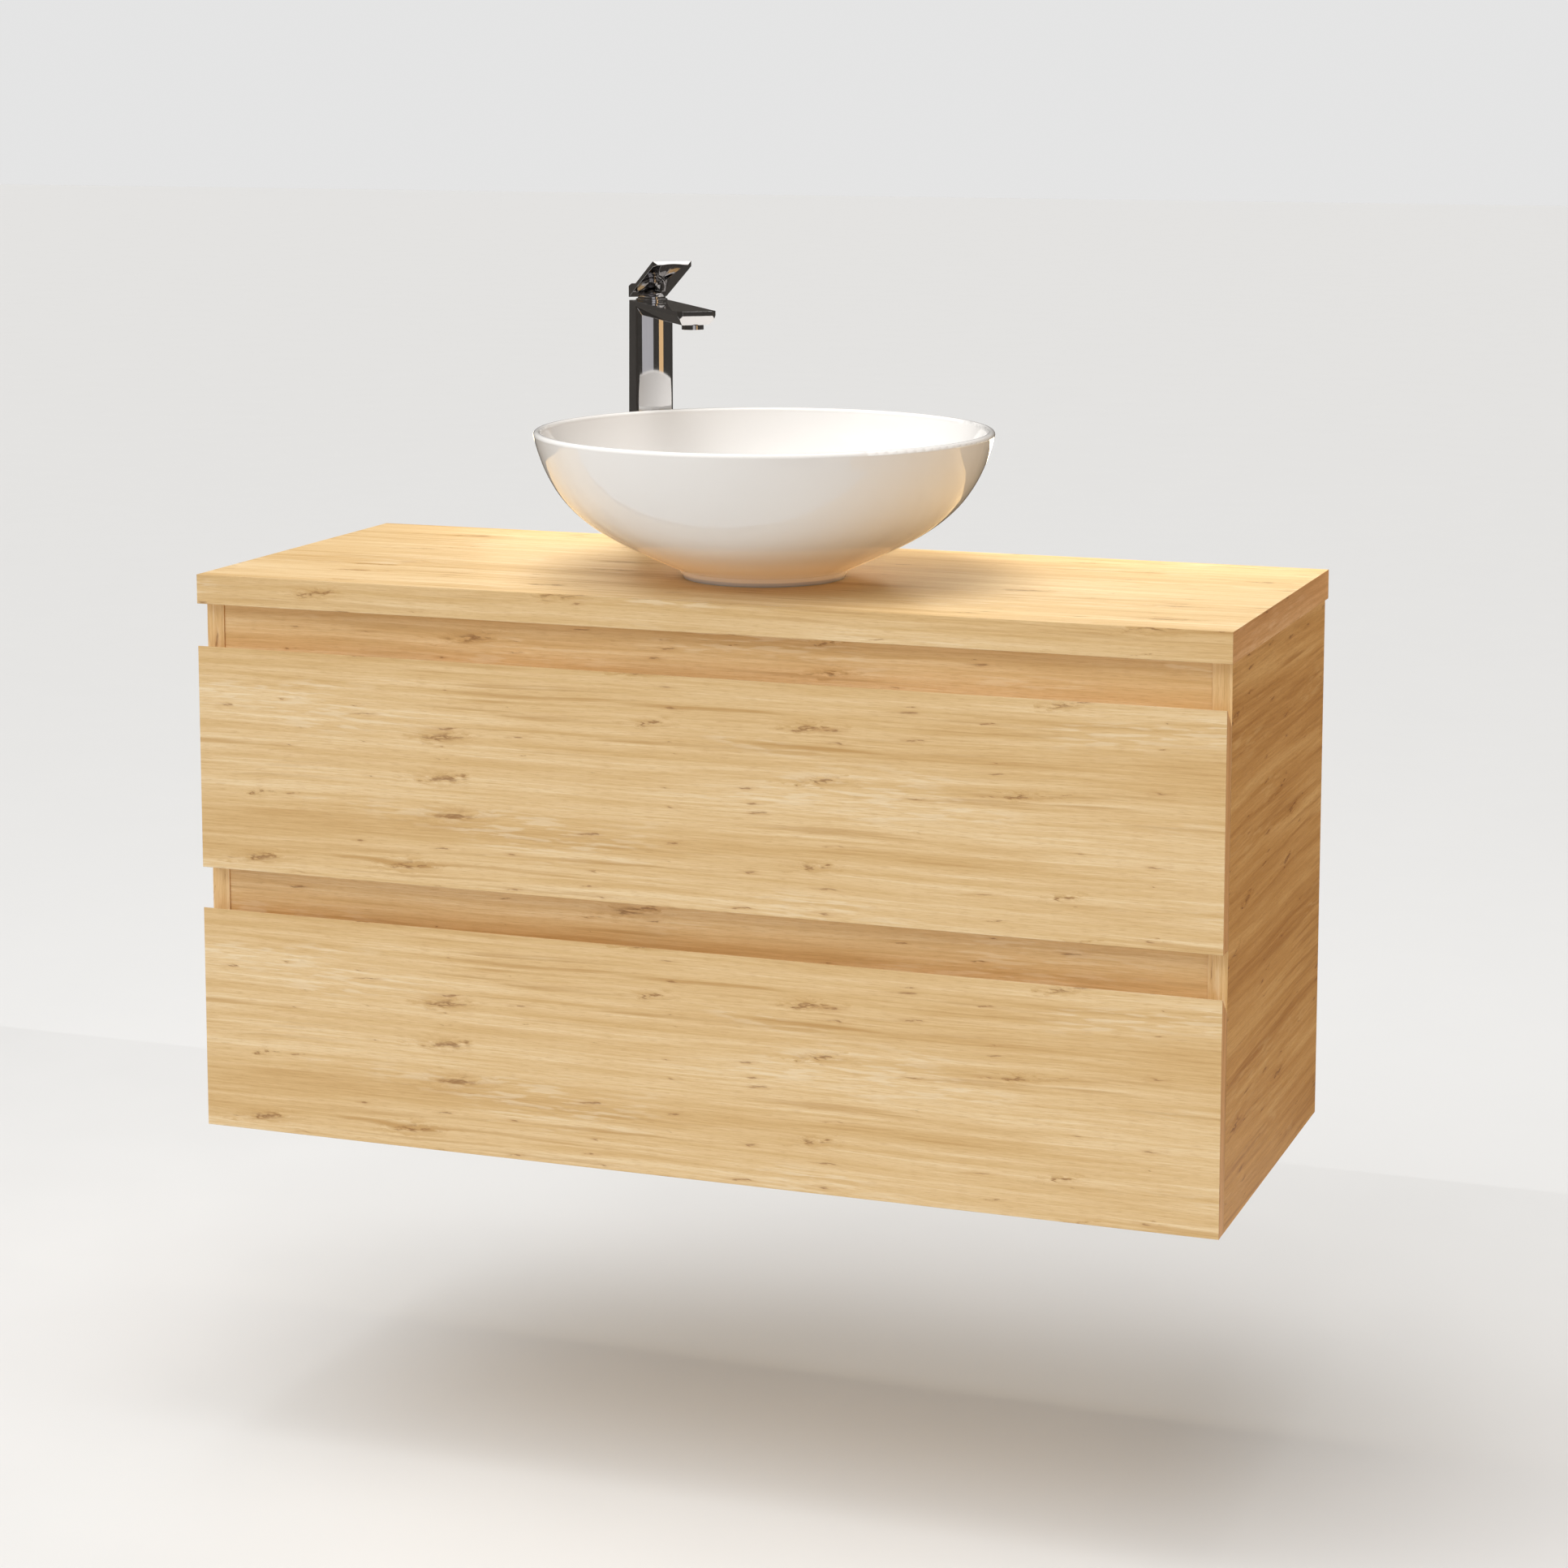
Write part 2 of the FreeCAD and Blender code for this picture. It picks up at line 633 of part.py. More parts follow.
def upper_drawer():
    pieces = drawer("upper", UPPER_FRONT_BASE, UPPER_BOX_BASE, UPPER_BOX_HEIGHT)
    opening = recess_block(0.0, UPPER_BOX_BASE, UPPER_BOX_HEIGHT)
    outer = recess_block(RECESS_CLEARANCE, UPPER_BOX_BASE, UPPER_BOX_HEIGHT)
    inner = recess_block(RECESS_CLEARANCE + RECESS_WALL, UPPER_BOX_BASE, UPPER_BOX_HEIGHT)
    left = (-DRAWER_INNER, BASIN_X - RECESS_HALF_WIDTH)
    right = (BASIN_X + RECESS_HALF_WIDTH, DRAWER_INNER)
    pieces["upper_drawer_bottom"] = one_solid(drawer_floor(UPPER_BOX_BASE).cut(opening))
    pieces["upper_drawer_back_left"] = drawer_back(left, UPPER_BOX_BASE, UPPER_BOX_HEIGHT)
    pieces["upper_drawer_back_right"] = drawer_back(right, UPPER_BOX_BASE, UPPER_BOX_HEIGHT)
    pieces["upper_drawer_trap_recess"] = one_solid(outer.cut(inner))
    return pieces


def lower_drawer():
    pieces = drawer("lower", 0.0, LOWER_BOX_BASE, LOWER_BOX_HEIGHT)
    pieces["lower_drawer_bottom"] = drawer_floor(LOWER_BOX_BASE)
    pieces["lower_drawer_back"] = drawer_back((-DRAWER_INNER, DRAWER_INNER), LOWER_BOX_BASE, LOWER_BOX_HEIGHT)
    return pieces


# ---------------------------------------------------------------- basin and waste

BASIN_FLOOR = 15.5
FLANGE_RADIUS = 32.5
FLANGE_TOP = 15.5
FLANGE_THICKNESS = 3.0
SEAL_THICKNESS = 1.5
FOOT_SEAL = 1.0
BASIN_HOLE_RADIUS = 22.5
PLUG_RADIUS = 31.0
LOCK_NUT_HEIGHT = 10.0
LOCK_NUT_RADIUS = 31.0
LOWER_SEAL = 3.0
FOOT_INNER_RADIUS = 69.0
FOOT_RECESS = 4.0
FOOT_FLARE = (FOOT_RADIUS + 3.5, 8.0)
WELL_RADIUS = 34.0
OUTSIDE_PULL = [(161.0, 43.0), (200.5, 63.0)]
INSIDE_PULL = [(193.0, 71.0), (148.0, 30.0)]
HUB_HEIGHTS = (-25.0, -20.0)
HUB_RADIUS = 7.0
PLUG_STEM_RADIUS = 4.0
PLUG_STEM_END = -40.0
PLUG_EDGE = 2.2
PLUG_CROWN = 4.8


def basin_bowl():
    """The ceramic bowl: a foot ring, a swelling outside, a rounded rim and a floor recessed for the waste."""
    rim_shoulder = BASIN_HEIGHT - RIM_THICKNESS / 2
    outer_end = (BASIN_RADIUS, rim_shoulder)
    inner_end = (BASIN_RADIUS - RIM_THICKNESS, rim_shoulder)
    outside = curve([FOOT_FLARE] + OUTSIDE_PULL + [outer_end])
    inside = curve([inner_end] + INSIDE_PULL + [(WELL_RADIUS, BASIN_FLOOR)])
    crown = V(BASIN_RADIUS - RIM_THICKNESS / 2, 0, BASIN_HEIGHT)
    rim = Part.Arc(V(outer_end[0], 0, outer_end[1]), crown, V(inner_end[0], 0, inner_end[1])).toShape()
    seat = FLANGE_TOP - FLANGE_THICKNESS - SEAL_THICKNESS
    foot = chain([(FOOT_INNER_RADIUS, FOOT_SEAL), (FOOT_RADIUS, FOOT_SEAL), FOOT_FLARE])
    well = chain([(WELL_RADIUS, BASIN_FLOOR), (WELL_RADIUS, seat), (BASIN_HOLE_RADIUS, seat),
                  (BASIN_HOLE_RADIUS, FOOT_RECESS), (FOOT_INNER_RADIUS - 3, FOOT_RECESS),
                  (FOOT_INNER_RADIUS, FOOT_SEAL)])
    return turned(foot + [outside, rim, inside] + well, V(BASIN_X, BASIN_Y, above_top(0)))


def ring(outer, inner, base, height):
    """A flat ring about the basin's axis, given heights above the countertop surface."""
    return tube(outer, inner, V(BASIN_X, BASIN_Y, above_top(base)), Z_AXIS, height)


def waste_body():
    """The chrome waste: a flange in the bowl's floor, a threaded tail and a cross that guides the plug."""
    bottom = FLANGE_TOP - FLANGE_THICKNESS
    bore = TAIL_RADIUS - 2.5
    profile = chain([(bore, TAIL_BOTTOM), (TAIL_RADIUS, TAIL_BOTTOM), (TAIL_RADIUS, bottom),
                     (FLANGE_RADIUS, bottom), (FLANGE_RADIUS, FLANGE_TOP - 0.8),
                     (FLANGE_RADIUS - 0.8, FLANGE_TOP), (bore + 2.5, FLANGE_TOP),
                     (bore, bottom), (bore, TAIL_BOTTOM)])
    centre = V(BASIN_X, BASIN_Y, above_top(0))
    body = turned(profile, centre)
    hub_low, hub_high = HUB_HEIGHTS
    hub = rod(HUB_RADIUS, centre + V(0, 0, hub_low), Z_AXIS, hub_high - hub_low)
    arms = []
    for angle in (0, 120, 240):
        arm = box((0, bore + 1), (-1.2, 1.2), HUB_HEIGHTS)
        arm.rotate(V(0, 0, 0), Z_AXIS, angle)
        arm.translate(centre)
        arms.append(arm)
    body = body.fuse([hub] + arms)
    guide = rod(PLUG_STEM_RADIUS + 0.3, centre + V(0, 0, hub_low - 1), Z_AXIS, hub_high - hub_low + 2)
    return one_solid(body.cut(guide))


def waste_plug():
    """The push plug, standing open: a low domed cap on a stem."""
    lift = FLANGE_TOP + PLUG_TRAVEL + 0.2
    edge = lift + PLUG_EDGE
    crown = lift + PLUG_CROWN
    centre = V(BASIN_X, BASIN_Y, above_top(0))
    stem = rod(PLUG_STEM_RADIUS, centre + V(0, 0, PLUG_STEM_END), Z_AXIS, lift - PLUG_STEM_END)
    disc = rod(PLUG_RADIUS, centre + V(0, 0, lift), Z_AXIS, crown - lift)
    sphere_radius = (PLUG_RADIUS ** 2 + (crown - edge) ** 2) / (2 * (crown - edge))
    sphere = Part.makeSphere(sphere_radius, centre + V(0, 0, crown - sphere_radius))
    return one_solid(disc.common(sphere).fuse(stem))


def waste_seals():
    outer = FLANGE_RADIUS - 1
    inner = TAIL_RADIUS + 0.3
    upper = ring(outer, inner, FLANGE_TOP - FLANGE_THICKNESS - SEAL_THICKNESS, SEAL_THICKNESS)
    lower = ring(outer, inner, -TOP_THICKNESS - LOWER_SEAL, LOWER_SEAL)
    return group([upper, lower])


def basin():
    nut_base = V(BASIN_X, BASIN_Y, above_top(-TOP_THICKNESS - LOWER_SEAL - LOCK_NUT_HEIGHT))
    return {
        "basin_bowl": basin_bowl(),
        "basin_seal_ring": ring(FOOT_RADIUS - 0.8, 70, 0, FOOT_SEAL),
        "waste_body": waste_body(),
        "waste_plug": waste_plug(),
        "waste_seals": waste_seals(),
        "waste_lock_nut": hexagon(LOCK_NUT_RADIUS, nut_base, LOCK_NUT_HEIGHT, TAIL_RADIUS + PILOT_CLEARANCE),
    }


# ---------------------------------------------------------------- bottle trap

TRAP_HEAD_RADIUS = 32.0
TRAP_WALL = 2.5
TRAP_HEAD_TOP = -110.0
TRAP_SPLIT = -158.0
TRAP_BOTTOM = -228.0
TRAP_DIP = -210.0
SOCKET_RADIUS = 19.5
SOCKET_REACH = 55.0
OUTLET_END = -5.0
OUTLET_BEAD = -160.0
NUT_RADIUS = 26.0
INLET_NUT_HEIGHT = 22.0
OUTLET_NUT_LENGTH = 11.0
FLUTES = 16
FLUTE_RADIUS = 1.6
CUP_GRIP = 28.0


def trap_inlet_nut():
    base = V(BASIN_X, BASIN_Y, above_top(TAIL_BOTTOM - 18))
    nut = rod(NUT_RADIUS, base, Z_AXIS, INLET_NUT_HEIGHT)
    nut = nut.cut(rod(PIPE_RADIUS + 0.2, base, Z_AXIS, 4))
    nut = nut.cut(rod(TAIL_RADIUS + PILOT_CLEARANCE, base + V(0, 0, 4), Z_AXIS, 18))
    return one_solid(nut.cut(grip_flutes(base, Z_AXIS, INLET_NUT_HEIGHT, NUT_RADIUS)))


def grip_flutes(base, axis, length, radius):
    """Shallow flutes around a hand nut."""
    flutes = []
    side = axis.cross(V(0, 0, 1))
    side = X_AXIS if side.Length < 0.5 else side
    for step in range(FLUTES):
        arm = FreeCAD.Rotation(axis, 360.0 * step / FLUTES).multVec(side)
        flutes.append(rod(FLUTE_RADIUS, base + arm * (radius + 0.7), axis, length))
    return flutes


def trap_head():
    """The upper half of the trap: inlet and dip tube, closed top and side socket."""
    centre = V(BASIN_X, BASIN_Y, above_top(0))
    bore = PIPE_RADIUS - PIPE_WALL
    inner = TRAP_HEAD_RADIUS - TRAP_WALL
    profile = chain([(bore, TRAP_DIP), (PIPE_RADIUS, TRAP_DIP), (PIPE_RADIUS, TRAP_HEAD_TOP - 3),
                     (inner, TRAP_HEAD_TOP - 3), (inner, TRAP_SPLIT), (TRAP_HEAD_RADIUS, TRAP_SPLIT),
                     (TRAP_HEAD_RADIUS, TRAP_HEAD_TOP - 2), (TRAP_HEAD_RADIUS - 2, TRAP_HEAD_TOP),
                     (PIPE_RADIUS, TRAP_HEAD_TOP), (PIPE_RADIUS, TAIL_BOTTOM - 3),
                     (TAIL_RADIUS - 0.5, TAIL_BOTTOM - 3), (TAIL_RADIUS - 0.5, TAIL_BOTTOM),
                     (bore, TAIL_BOTTOM), (bore, TRAP_DIP)])
    body = turned(profile, centre)
    axis_start = V(BASIN_X, BASIN_Y + inner - 3, above_top(OUTLET_DEPTH))
    socket = rod(SOCKET_RADIUS, axis_start, Y_AXIS, SOCKET_REACH - inner + 3)
    body = body.fuse(socket)
    return one_solid(body.cut(rod(PIPE_RADIUS + 0.2, axis_start - V(0, 2, 0), Y_AXIS, SOCKET_REACH)))


def trap_cup():
    """The cup that unscrews for cleaning, with a rounded bottom."""
    corner = 8.0
    radius = TRAP_HEAD_RADIUS - 1
    inner = radius - TRAP_WALL
    floor = TRAP_BOTTOM + TRAP_WALL
    diagonal = corner * (1 - math.sqrt(0.5))
    outer_arc = Part.Arc(V(radius - corner, 0, TRAP_BOTTOM), V(radius - diagonal, 0, TRAP_BOTTOM + diagonal),
                         V(radius, 0, TRAP_BOTTOM + corner)).toShape()
    profile = [line((0, TRAP_BOTTOM), (radius - corner, TRAP_BOTTOM)), outer_arc]
    profile += chain([(radius, TRAP_BOTTOM + corner), (radius, TRAP_SPLIT), (inner, TRAP_SPLIT),
                      (inner, floor), (0, floor), (0, TRAP_BOTTOM)])
    cup = turned(profile, V(BASIN_X, BASIN_Y, above_top(0)))
    flute_base = V(BASIN_X, BASIN_Y, above_top(TRAP_BOTTOM + corner))
    return one_solid(cup.cut(grip_flutes(flute_base, Z_AXIS, CUP_GRIP, radius)))


def trap_outlet_nut():
    base = V(BASIN_X, BASIN_Y + SOCKET_REACH, above_top(OUTLET_DEPTH))
    nut = tube(SOCKET_RADIUS + 3, PIPE_RADIUS + 0.2, base, Y_AXIS, OUTLET_NUT_LENGTH)
    return one_solid(nut.cut(grip_flutes(base, Y_AXIS, OUTLET_NUT_LENGTH, SOCKET_RADIUS + 3)))


def trap_outlet_pipe():
    """The pipe to the wall, with a bead that stops it against the nut."""
    start_y = BASIN_Y + TRAP_HEAD_RADIUS + 3
    height = above_top(OUTLET_DEPTH)
    pipe = rod(PIPE_RADIUS, V(BASIN_X, start_y, height), Y_AXIS, OUTLET_END - start_y)
    bead = rod(PIPE_RADIUS + 1.2, V(BASIN_X, OUTLET_BEAD, height), Y_AXIS, 3)
    bore = rod(PIPE_RADIUS - PIPE_WALL, V(BASIN_X, start_y, height), Y_AXIS, OUTLET_END - start_y)
    return one_solid(pipe.fuse(bead).cut(bore))


def trap():
    return {
        "trap_head": trap_head(),
        "trap_cup": trap_cup(),
        "trap_nuts": group([trap_inlet_nut(), trap_outlet_nut()]),
        "trap_outlet_pipe": trap_outlet_pipe(),
    }


# ---------------------------------------------------------------- tap

CARTRIDGE_BORE = 12.75
CARTRIDGE_BASE = 205.0
CARTRIDGE_RADIUS = 12.5
CARTRIDGE_NECK = 10.6
CASE_HEIGHT = 33.0
CAVITY_BASE = 231.0
ROTOR_RADIUS = 9.0
ROTOR_HEIGHT = 14.7
PIN_RADIUS = 1.5
STEM_TOP = 21.0
COLLAR_RADIUS = 15.8
COLLAR_HEIGHT = 2.3
COLLAR_GROOVE = 0.6
COLLAR_NECK = 13.2
COLLAR_BEAD = 14.0
COLLAR_BORE = 12.2
DOME_BASE = 251.7
DOME_RADIUS = 17.8
DOME_WALL = 1.8
SLEEVE_RADIUS = 12.6
SLEEVE_DEPTH = 8.8
DOME_OPENING = 7.0
STEM_RADIUS = 3.2
STEM_LEAN = 10.6
STUD_X = 8.0
STUD_RADIUS = 4.0
STUD_DROP = 55.0
WASHER_RADIUS = 19.0
INLET_X = -4.0
INLET_Y = 8.5
INLET_DEPTH = 14.0
WATERWAY_HEIGHT = 238.5
WATERWAY_RADIUS = 4.5
RISER_RADIUS = 3.2
RISER_Y = 6.0
AERATOR_SEAT_RADIUS = 9.6
AERATOR_SEAT_DEPTH = 7.0
AERATOR_RADIUS = 10.6
AERATOR_DROP = 4.8


def placed(shape):
    """Moves a shape from the tap's own frame to its place on the countertop."""
    shape.rotate(V(0, 0, 0), Z_AXIS, SPOUT_TURN)
    shape.translate(V(TAP_X, TAP_Y, above_top(0)))
    return shape


def side_prism(profile, half_width):
    """A solid symmetric about the spout's middle plane, from its (x, z) outline."""
    corners = [V(x, -half_width, z) for x, z in profile]
    return prism(corners, V(0, 2 * half_width, 0))


def corner_cuts(end, half_width, size, low, high):
    """Upright prisms that take a 45 degree corner off both sides of a bar's end."""
    cuts = []
    for side in (-1, 1):
        edge = side * half_width
        corners = [V(end + 1, edge + side, low), V(end - size - 1, edge + side, low),
                   V(end + 1, edge - side * (size + 1), low)]
        cuts.append(prism(corners, V(0, 0, high - low)))
    return cuts


def spout():
    """The flat spout bar: a thin band along its top edge and bevelled undersides."""
    band = SPOUT_TOP - SPOUT_BAND
    section = [(-SPOUT_HALF_WIDTH, SPOUT_TOP), (SPOUT_HALF_WIDTH, SPOUT_TOP), (SPOUT_HALF_WIDTH, band),
               (SPOUT_UNDER_HALF, SPOUT_BOTTOM), (-SPOUT_UNDER_HALF, SPOUT_BOTTOM), (-SPOUT_HALF_WIDTH, band)]
    start = COLUMN_FRONT - 8
    bar = prism([V(start, y, z) for y, z in section], V(SPOUT_REACH - start, 0, 0))
    nose_start = SPOUT_REACH - SPOUT_NOSE
    nose = side_prism([(SPOUT_REACH, band), (nose_start, SPOUT_BOTTOM), (nose_start, SPOUT_BOTTOM - 1),
                       (SPOUT_REACH + 1, SPOUT_BOTTOM - 1), (SPOUT_REACH + 1, band)], SPOUT_HALF_WIDTH + 1)
    corners = corner_cuts(SPOUT_REACH, SPOUT_HALF_WIDTH, SPOUT_CORNER, SPOUT_BOTTOM - 1, SPOUT_TOP + 1)
    return bar.cut([nose] + corners)


def column():
    """The upright: a slightly swelling front face, rounded front edges and a back that tapers upwards."""
    shoulder = COLUMN_FRONT - COLUMN_BULGE
    back_left = V(COLUMN_BACK_BASE, -SPOUT_HALF_WIDTH, 1)
    front_left = V(shoulder, -SPOUT_HALF_WIDTH, 1)
    front_right = V(shoulder, SPOUT_HALF_WIDTH, 1)
    back_right = V(COLUMN_BACK_BASE, SPOUT_HALF_WIDTH, 1)
    front = Part.Arc(front_left, V(COLUMN_FRONT, 0, 1), front_right).toShape()
    sides = Part.makePolygon([front_right, back_right, back_left, front_left])
    post = Part.Face(Part.Wire([front] + sides.Edges)).extrude(V(0, 0, SPOUT_TOP - 1))
    front_edges = [edge for edge in post.Edges
                   if abs(edge.tangentAt(edge.FirstParameter).z) > 0.9 and edge.CenterOfMass.x > 0]
    post = post.makeFillet(COLUMN_EDGE, front_edges)
    taper = side_prism([(COLUMN_BACK_BASE, 1), (COLUMN_BACK_TOP, SPOUT_TOP),
                        (COLUMN_BACK_BASE - 1, SPOUT_TOP)], SPOUT_HALF_WIDTH + 1)
    return post.cut(taper)


def tap_body():
    """The column and spout in one brass casting, with its waterways and the cartridge's seat."""
    body = column().fuse(spout()).removeSplitter()
    cuts = [rod(CARTRIDGE_BORE, V(STEM_X, 0, CARTRIDGE_BASE), Z_AXIS, SPOUT_TOP - CARTRIDGE_BASE + 1),
            rod(WATERWAY_RADIUS, V(STEM_X, 0, WATERWAY_HEIGHT), X_AXIS, AERATOR_X - STEM_X),
            rod(AERATOR_SEAT_RADIUS, V(AERATOR_X, 0, SPOUT_BOTTOM - 1), Z_AXIS, AERATOR_SEAT_DEPTH + 1),
            rod(STUD_RADIUS + PILOT_CLEARANCE, V(STUD_X, 0, 0), Z_AXIS, INLET_DEPTH + 1)]
    for side in (-1, 1):
        inlet = V(INLET_X, side * INLET_Y, 0)
        cuts.append(rod(INLET_RADIUS, inlet, Z_AXIS, INLET_DEPTH + 1))
        riser = V(INLET_X + 2, side * RISER_Y, INLET_DEPTH)
        cuts.append(rod(RISER_RADIUS, riser, Z_AXIS, CARTRIDGE_BASE - INLET_DEPTH + 1))
    return one_solid(body.cut(cuts))


def tap_cartridge():
    """The ceramic cartridge's fixed case, with a cavity for the rotor."""
    case = rod(CARTRIDGE_RADIUS, V(STEM_X, 0, CARTRIDGE_BASE), Z_AXIS, CASE_HEIGHT)
    neck = rod(CARTRIDGE_NECK, V(STEM_X, 0, CARTRIDGE_BASE + CASE_HEIGHT), Z_AXIS, 8.4)
    cavity = rod(ROTOR_RADIUS + 0.3, V(STEM_X, 0, CAVITY_BASE), Z_AXIS, 20)
    outlet = rod(4.0, V(STEM_X, 0, 222), X_AXIS, 20)
    return one_solid(case.fuse(neck).cut([cavity, outlet]))


def pivot_point():
    return V(STEM_X, 0, PIVOT_HEIGHT)


def tap_cartridge_rotor():
    """The rotor that turns with the lever, and the pin on which the stem tilts."""
    rotor = rod(ROTOR_RADIUS, V(STEM_X, 0, CAVITY_BASE + 0.3), Z_AXIS, ROTOR_HEIGHT)
    slot = box((STEM_X - 5.4, STEM_X + 5.4), (-3.5, 3.5), (CAVITY_BASE + 3, CAVITY_BASE + 16))
    rotor = rotor.cut(slot).cut(rod(PIN_RADIUS + 0.02, pivot_point() - V(0, 10, 0), Y_AXIS, 20))
    pin = rod(PIN_RADIUS, pivot_point() - V(0, 7, 0), Y_AXIS, 14)
    return group([rotor, pin])


def stem_rod(radius, start, end):
    """A rod along the stem's axis, between two distances from the pivot."""
    lean = math.radians(STEM_LEAN)
    direction = V(-math.sin(lean), 0, math.cos(lean))
    return rod(radius, pivot_point() + direction * start, direction, end - start)


def tap_lever_stem():
    cross_hole = rod(PIN_RADIUS + 0.06, pivot_point() - V(0, 10, 0), Y_AXIS, 20)
    return one_solid(stem_rod(STEM_RADIUS, -4.0, STEM_TOP).cut(cross_hole))


def tap_collar():
    """The chrome cap over the cartridge: a threaded sleeve, two rings with a groove between, and a dome."""
    base = V(STEM_X, 0, SPOUT_TOP)
    flange = rod(COLLAR_RADIUS, base, Z_AXIS, COLLAR_HEIGHT)
    bead_base = SPOUT_TOP + COLLAR_HEIGHT + COLLAR_GROOVE
    bead = rod(COLLAR_BEAD, V(STEM_X, 0, bead_base), Z_AXIS, DOME_BASE - bead_base)
    rounded = []
    for ring_part in (flange, bead):
        top = ring_part.BoundBox.ZMax
        rim = [edge for edge in ring_part.Edges if edge.Closed and edge.CenterOfMass.z > top - 0.1]
        rounded.append(ring_part.makeFillet(0.8, rim))
    neck = rod(COLLAR_NECK, base, Z_AXIS, DOME_BASE - SPOUT_TOP)
    above = rod(2 * DOME_RADIUS, V(STEM_X, 0, DOME_BASE), Z_AXIS, DOME_RADIUS)
    dome = Part.makeSphere(DOME_RADIUS, pivot_point()).common(above)
    sleeve = rod(SLEEVE_RADIUS, base - V(0, 0, SLEEVE_DEPTH), Z_AXIS, SLEEVE_DEPTH)
    cap = rounded[0].fuse([rounded[1], neck, dome, sleeve])
    hollow = Part.makeSphere(DOME_RADIUS - DOME_WALL, pivot_point())
    hollow = hollow.common(rod(COLLAR_BORE, base, Z_AXIS, 30))
    thread_bore = rod(CARTRIDGE_NECK + 0.2, base - V(0, 0, SLEEVE_DEPTH + 1), Z_AXIS, SLEEVE_DEPTH + 1)
    cap = cap.cut([hollow, thread_bore, rod(DOME_OPENING, base, Z_AXIS, 20)])
    return one_solid(cap)


LEVER_BACK = -12.6
LEVER_SLOPE = 0.387
LEVER_TIP = 82.0
LEVER_BASE = 250.0
HEEL_HEIGHT = 264.3
HEEL_SLOPE = 3.3
HEEL_START = -2.0
HEEL_END = 11.4
TIP_BEVEL = 3.8
TIP_CORNER = 4.0
LEVER_POCKET = 18.7
GRUB_RADIUS = 2.0
GRUB_HEIGHT = 258.4
GRUB_LENGTH = 7.4
GRUB_SOCKET = 1.1
SCOOP_START = 8.0
SCOOP_LENGTH = 90.0
SCOOP_SPREAD = 0.72
SCOOP_AXIS_DROP = 0.695


def lever_under(x):
    """Height of the lever's underside at a distance along the spout."""
    return LEVER_BASE + LEVER_SLOPE * (x - LEVER_BACK)


def tap_lever():
    """The flat lever, fully raised: a heel hollowed over the dome, a scooped underside, a bevelled tip."""
    tip_base = lever_under(LEVER_TIP)
    tip_crest = LEVER_TIP - TIP_BEVEL
    tip_height = tip_base + TIP_BEVEL
    outline = [(LEVER_BACK, LEVER_BASE), (LEVER_BACK, HEEL_HEIGHT - HEEL_SLOPE), (HEEL_START, HEEL_HEIGHT),
               (HEEL_END, HEEL_HEIGHT), (tip_crest, tip_height), (LEVER_TIP, tip_base + 0.6),
               (LEVER_TIP, tip_base)]
    plate = side_prism(outline, LEVER_HALF_WIDTH)
    plate = plate.cut(corner_cuts(LEVER_TIP, LEVER_HALF_WIDTH, TIP_CORNER, LEVER_BASE, tip_height + 1))
    scoop = Part.makeCone(0.0, SCOOP_SPREAD * SCOOP_LENGTH, SCOOP_LENGTH, V(0, 0, 0), X_AXIS)
    tilt = math.degrees(math.atan(LEVER_SLOPE) - math.atan(SCOOP_AXIS_DROP))
    scoop.rotate(V(0, 0, 0), Y_AXIS, -tilt)
    scoop.translate(V(SCOOP_START, 0, lever_under(SCOOP_START)))
    pocket = Part.makeSphere(LEVER_POCKET, pivot_point())
    grub = rod(GRUB_RADIUS + PILOT_CLEARANCE, V(LEVER_BACK - 1, 0, GRUB_HEIGHT), X_AXIS, GRUB_LENGTH + 2)
    socket = stem_rod(STEM_RADIUS + PILOT_CLEARANCE, 10.0, STEM_TOP + 0.3)
    return one_solid(plate.cut([scoop, pocket, socket, grub]))


def tap_lever_screw():
    """The grub screw behind the heel, with its hexagon socket."""
    screw = rod(GRUB_RADIUS, V(LEVER_BACK + 0.4, 0, GRUB_HEIGHT), X_AXIS, GRUB_LENGTH)
    corners = []
    for step in range(6):
        angle = math.radians(60 * step)
        across = GRUB_SOCKET * math.cos(angle)
        corners.append(V(LEVER_BACK, across, GRUB_HEIGHT + GRUB_SOCKET * math.sin(angle)))
    return one_solid(screw.cut(prism(corners, V(2.5, 0, 0))))


def tap_aerator():
    """The aerator: a short ring below the spout, a threaded neck and a perforated disc."""
    body = rod(AERATOR_RADIUS, V(AERATOR_X, 0, SPOUT_BOTTOM - AERATOR_DROP), Z_AXIS, AERATOR_DROP - 0.1)
    neck = rod(9.4, V(AERATOR_X, 0, SPOUT_BOTTOM - 0.1), Z_AXIS, 6)
    holes = [rod(8.0, V(AERATOR_X, 0, SPOUT_BOTTOM - 3), Z_AXIS, 10)]
    for circle, count in ((0.0, 1), (3.0, 6), (6.0, 12)):
        for step in range(count):
            angle = 2 * math.pi * step / count
            spot = V(AERATOR_X + circle * math.cos(angle), circle * math.sin(angle), SPOUT_BOTTOM - 5)
            holes.append(rod(0.9, spot, Z_AXIS, 3))
    lip = rod(8.4, V(AERATOR_X, 0, SPOUT_BOTTOM - AERATOR_DROP), Z_AXIS, 0.8)
    return one_solid(body.fuse(neck).cut(holes + [lip]))


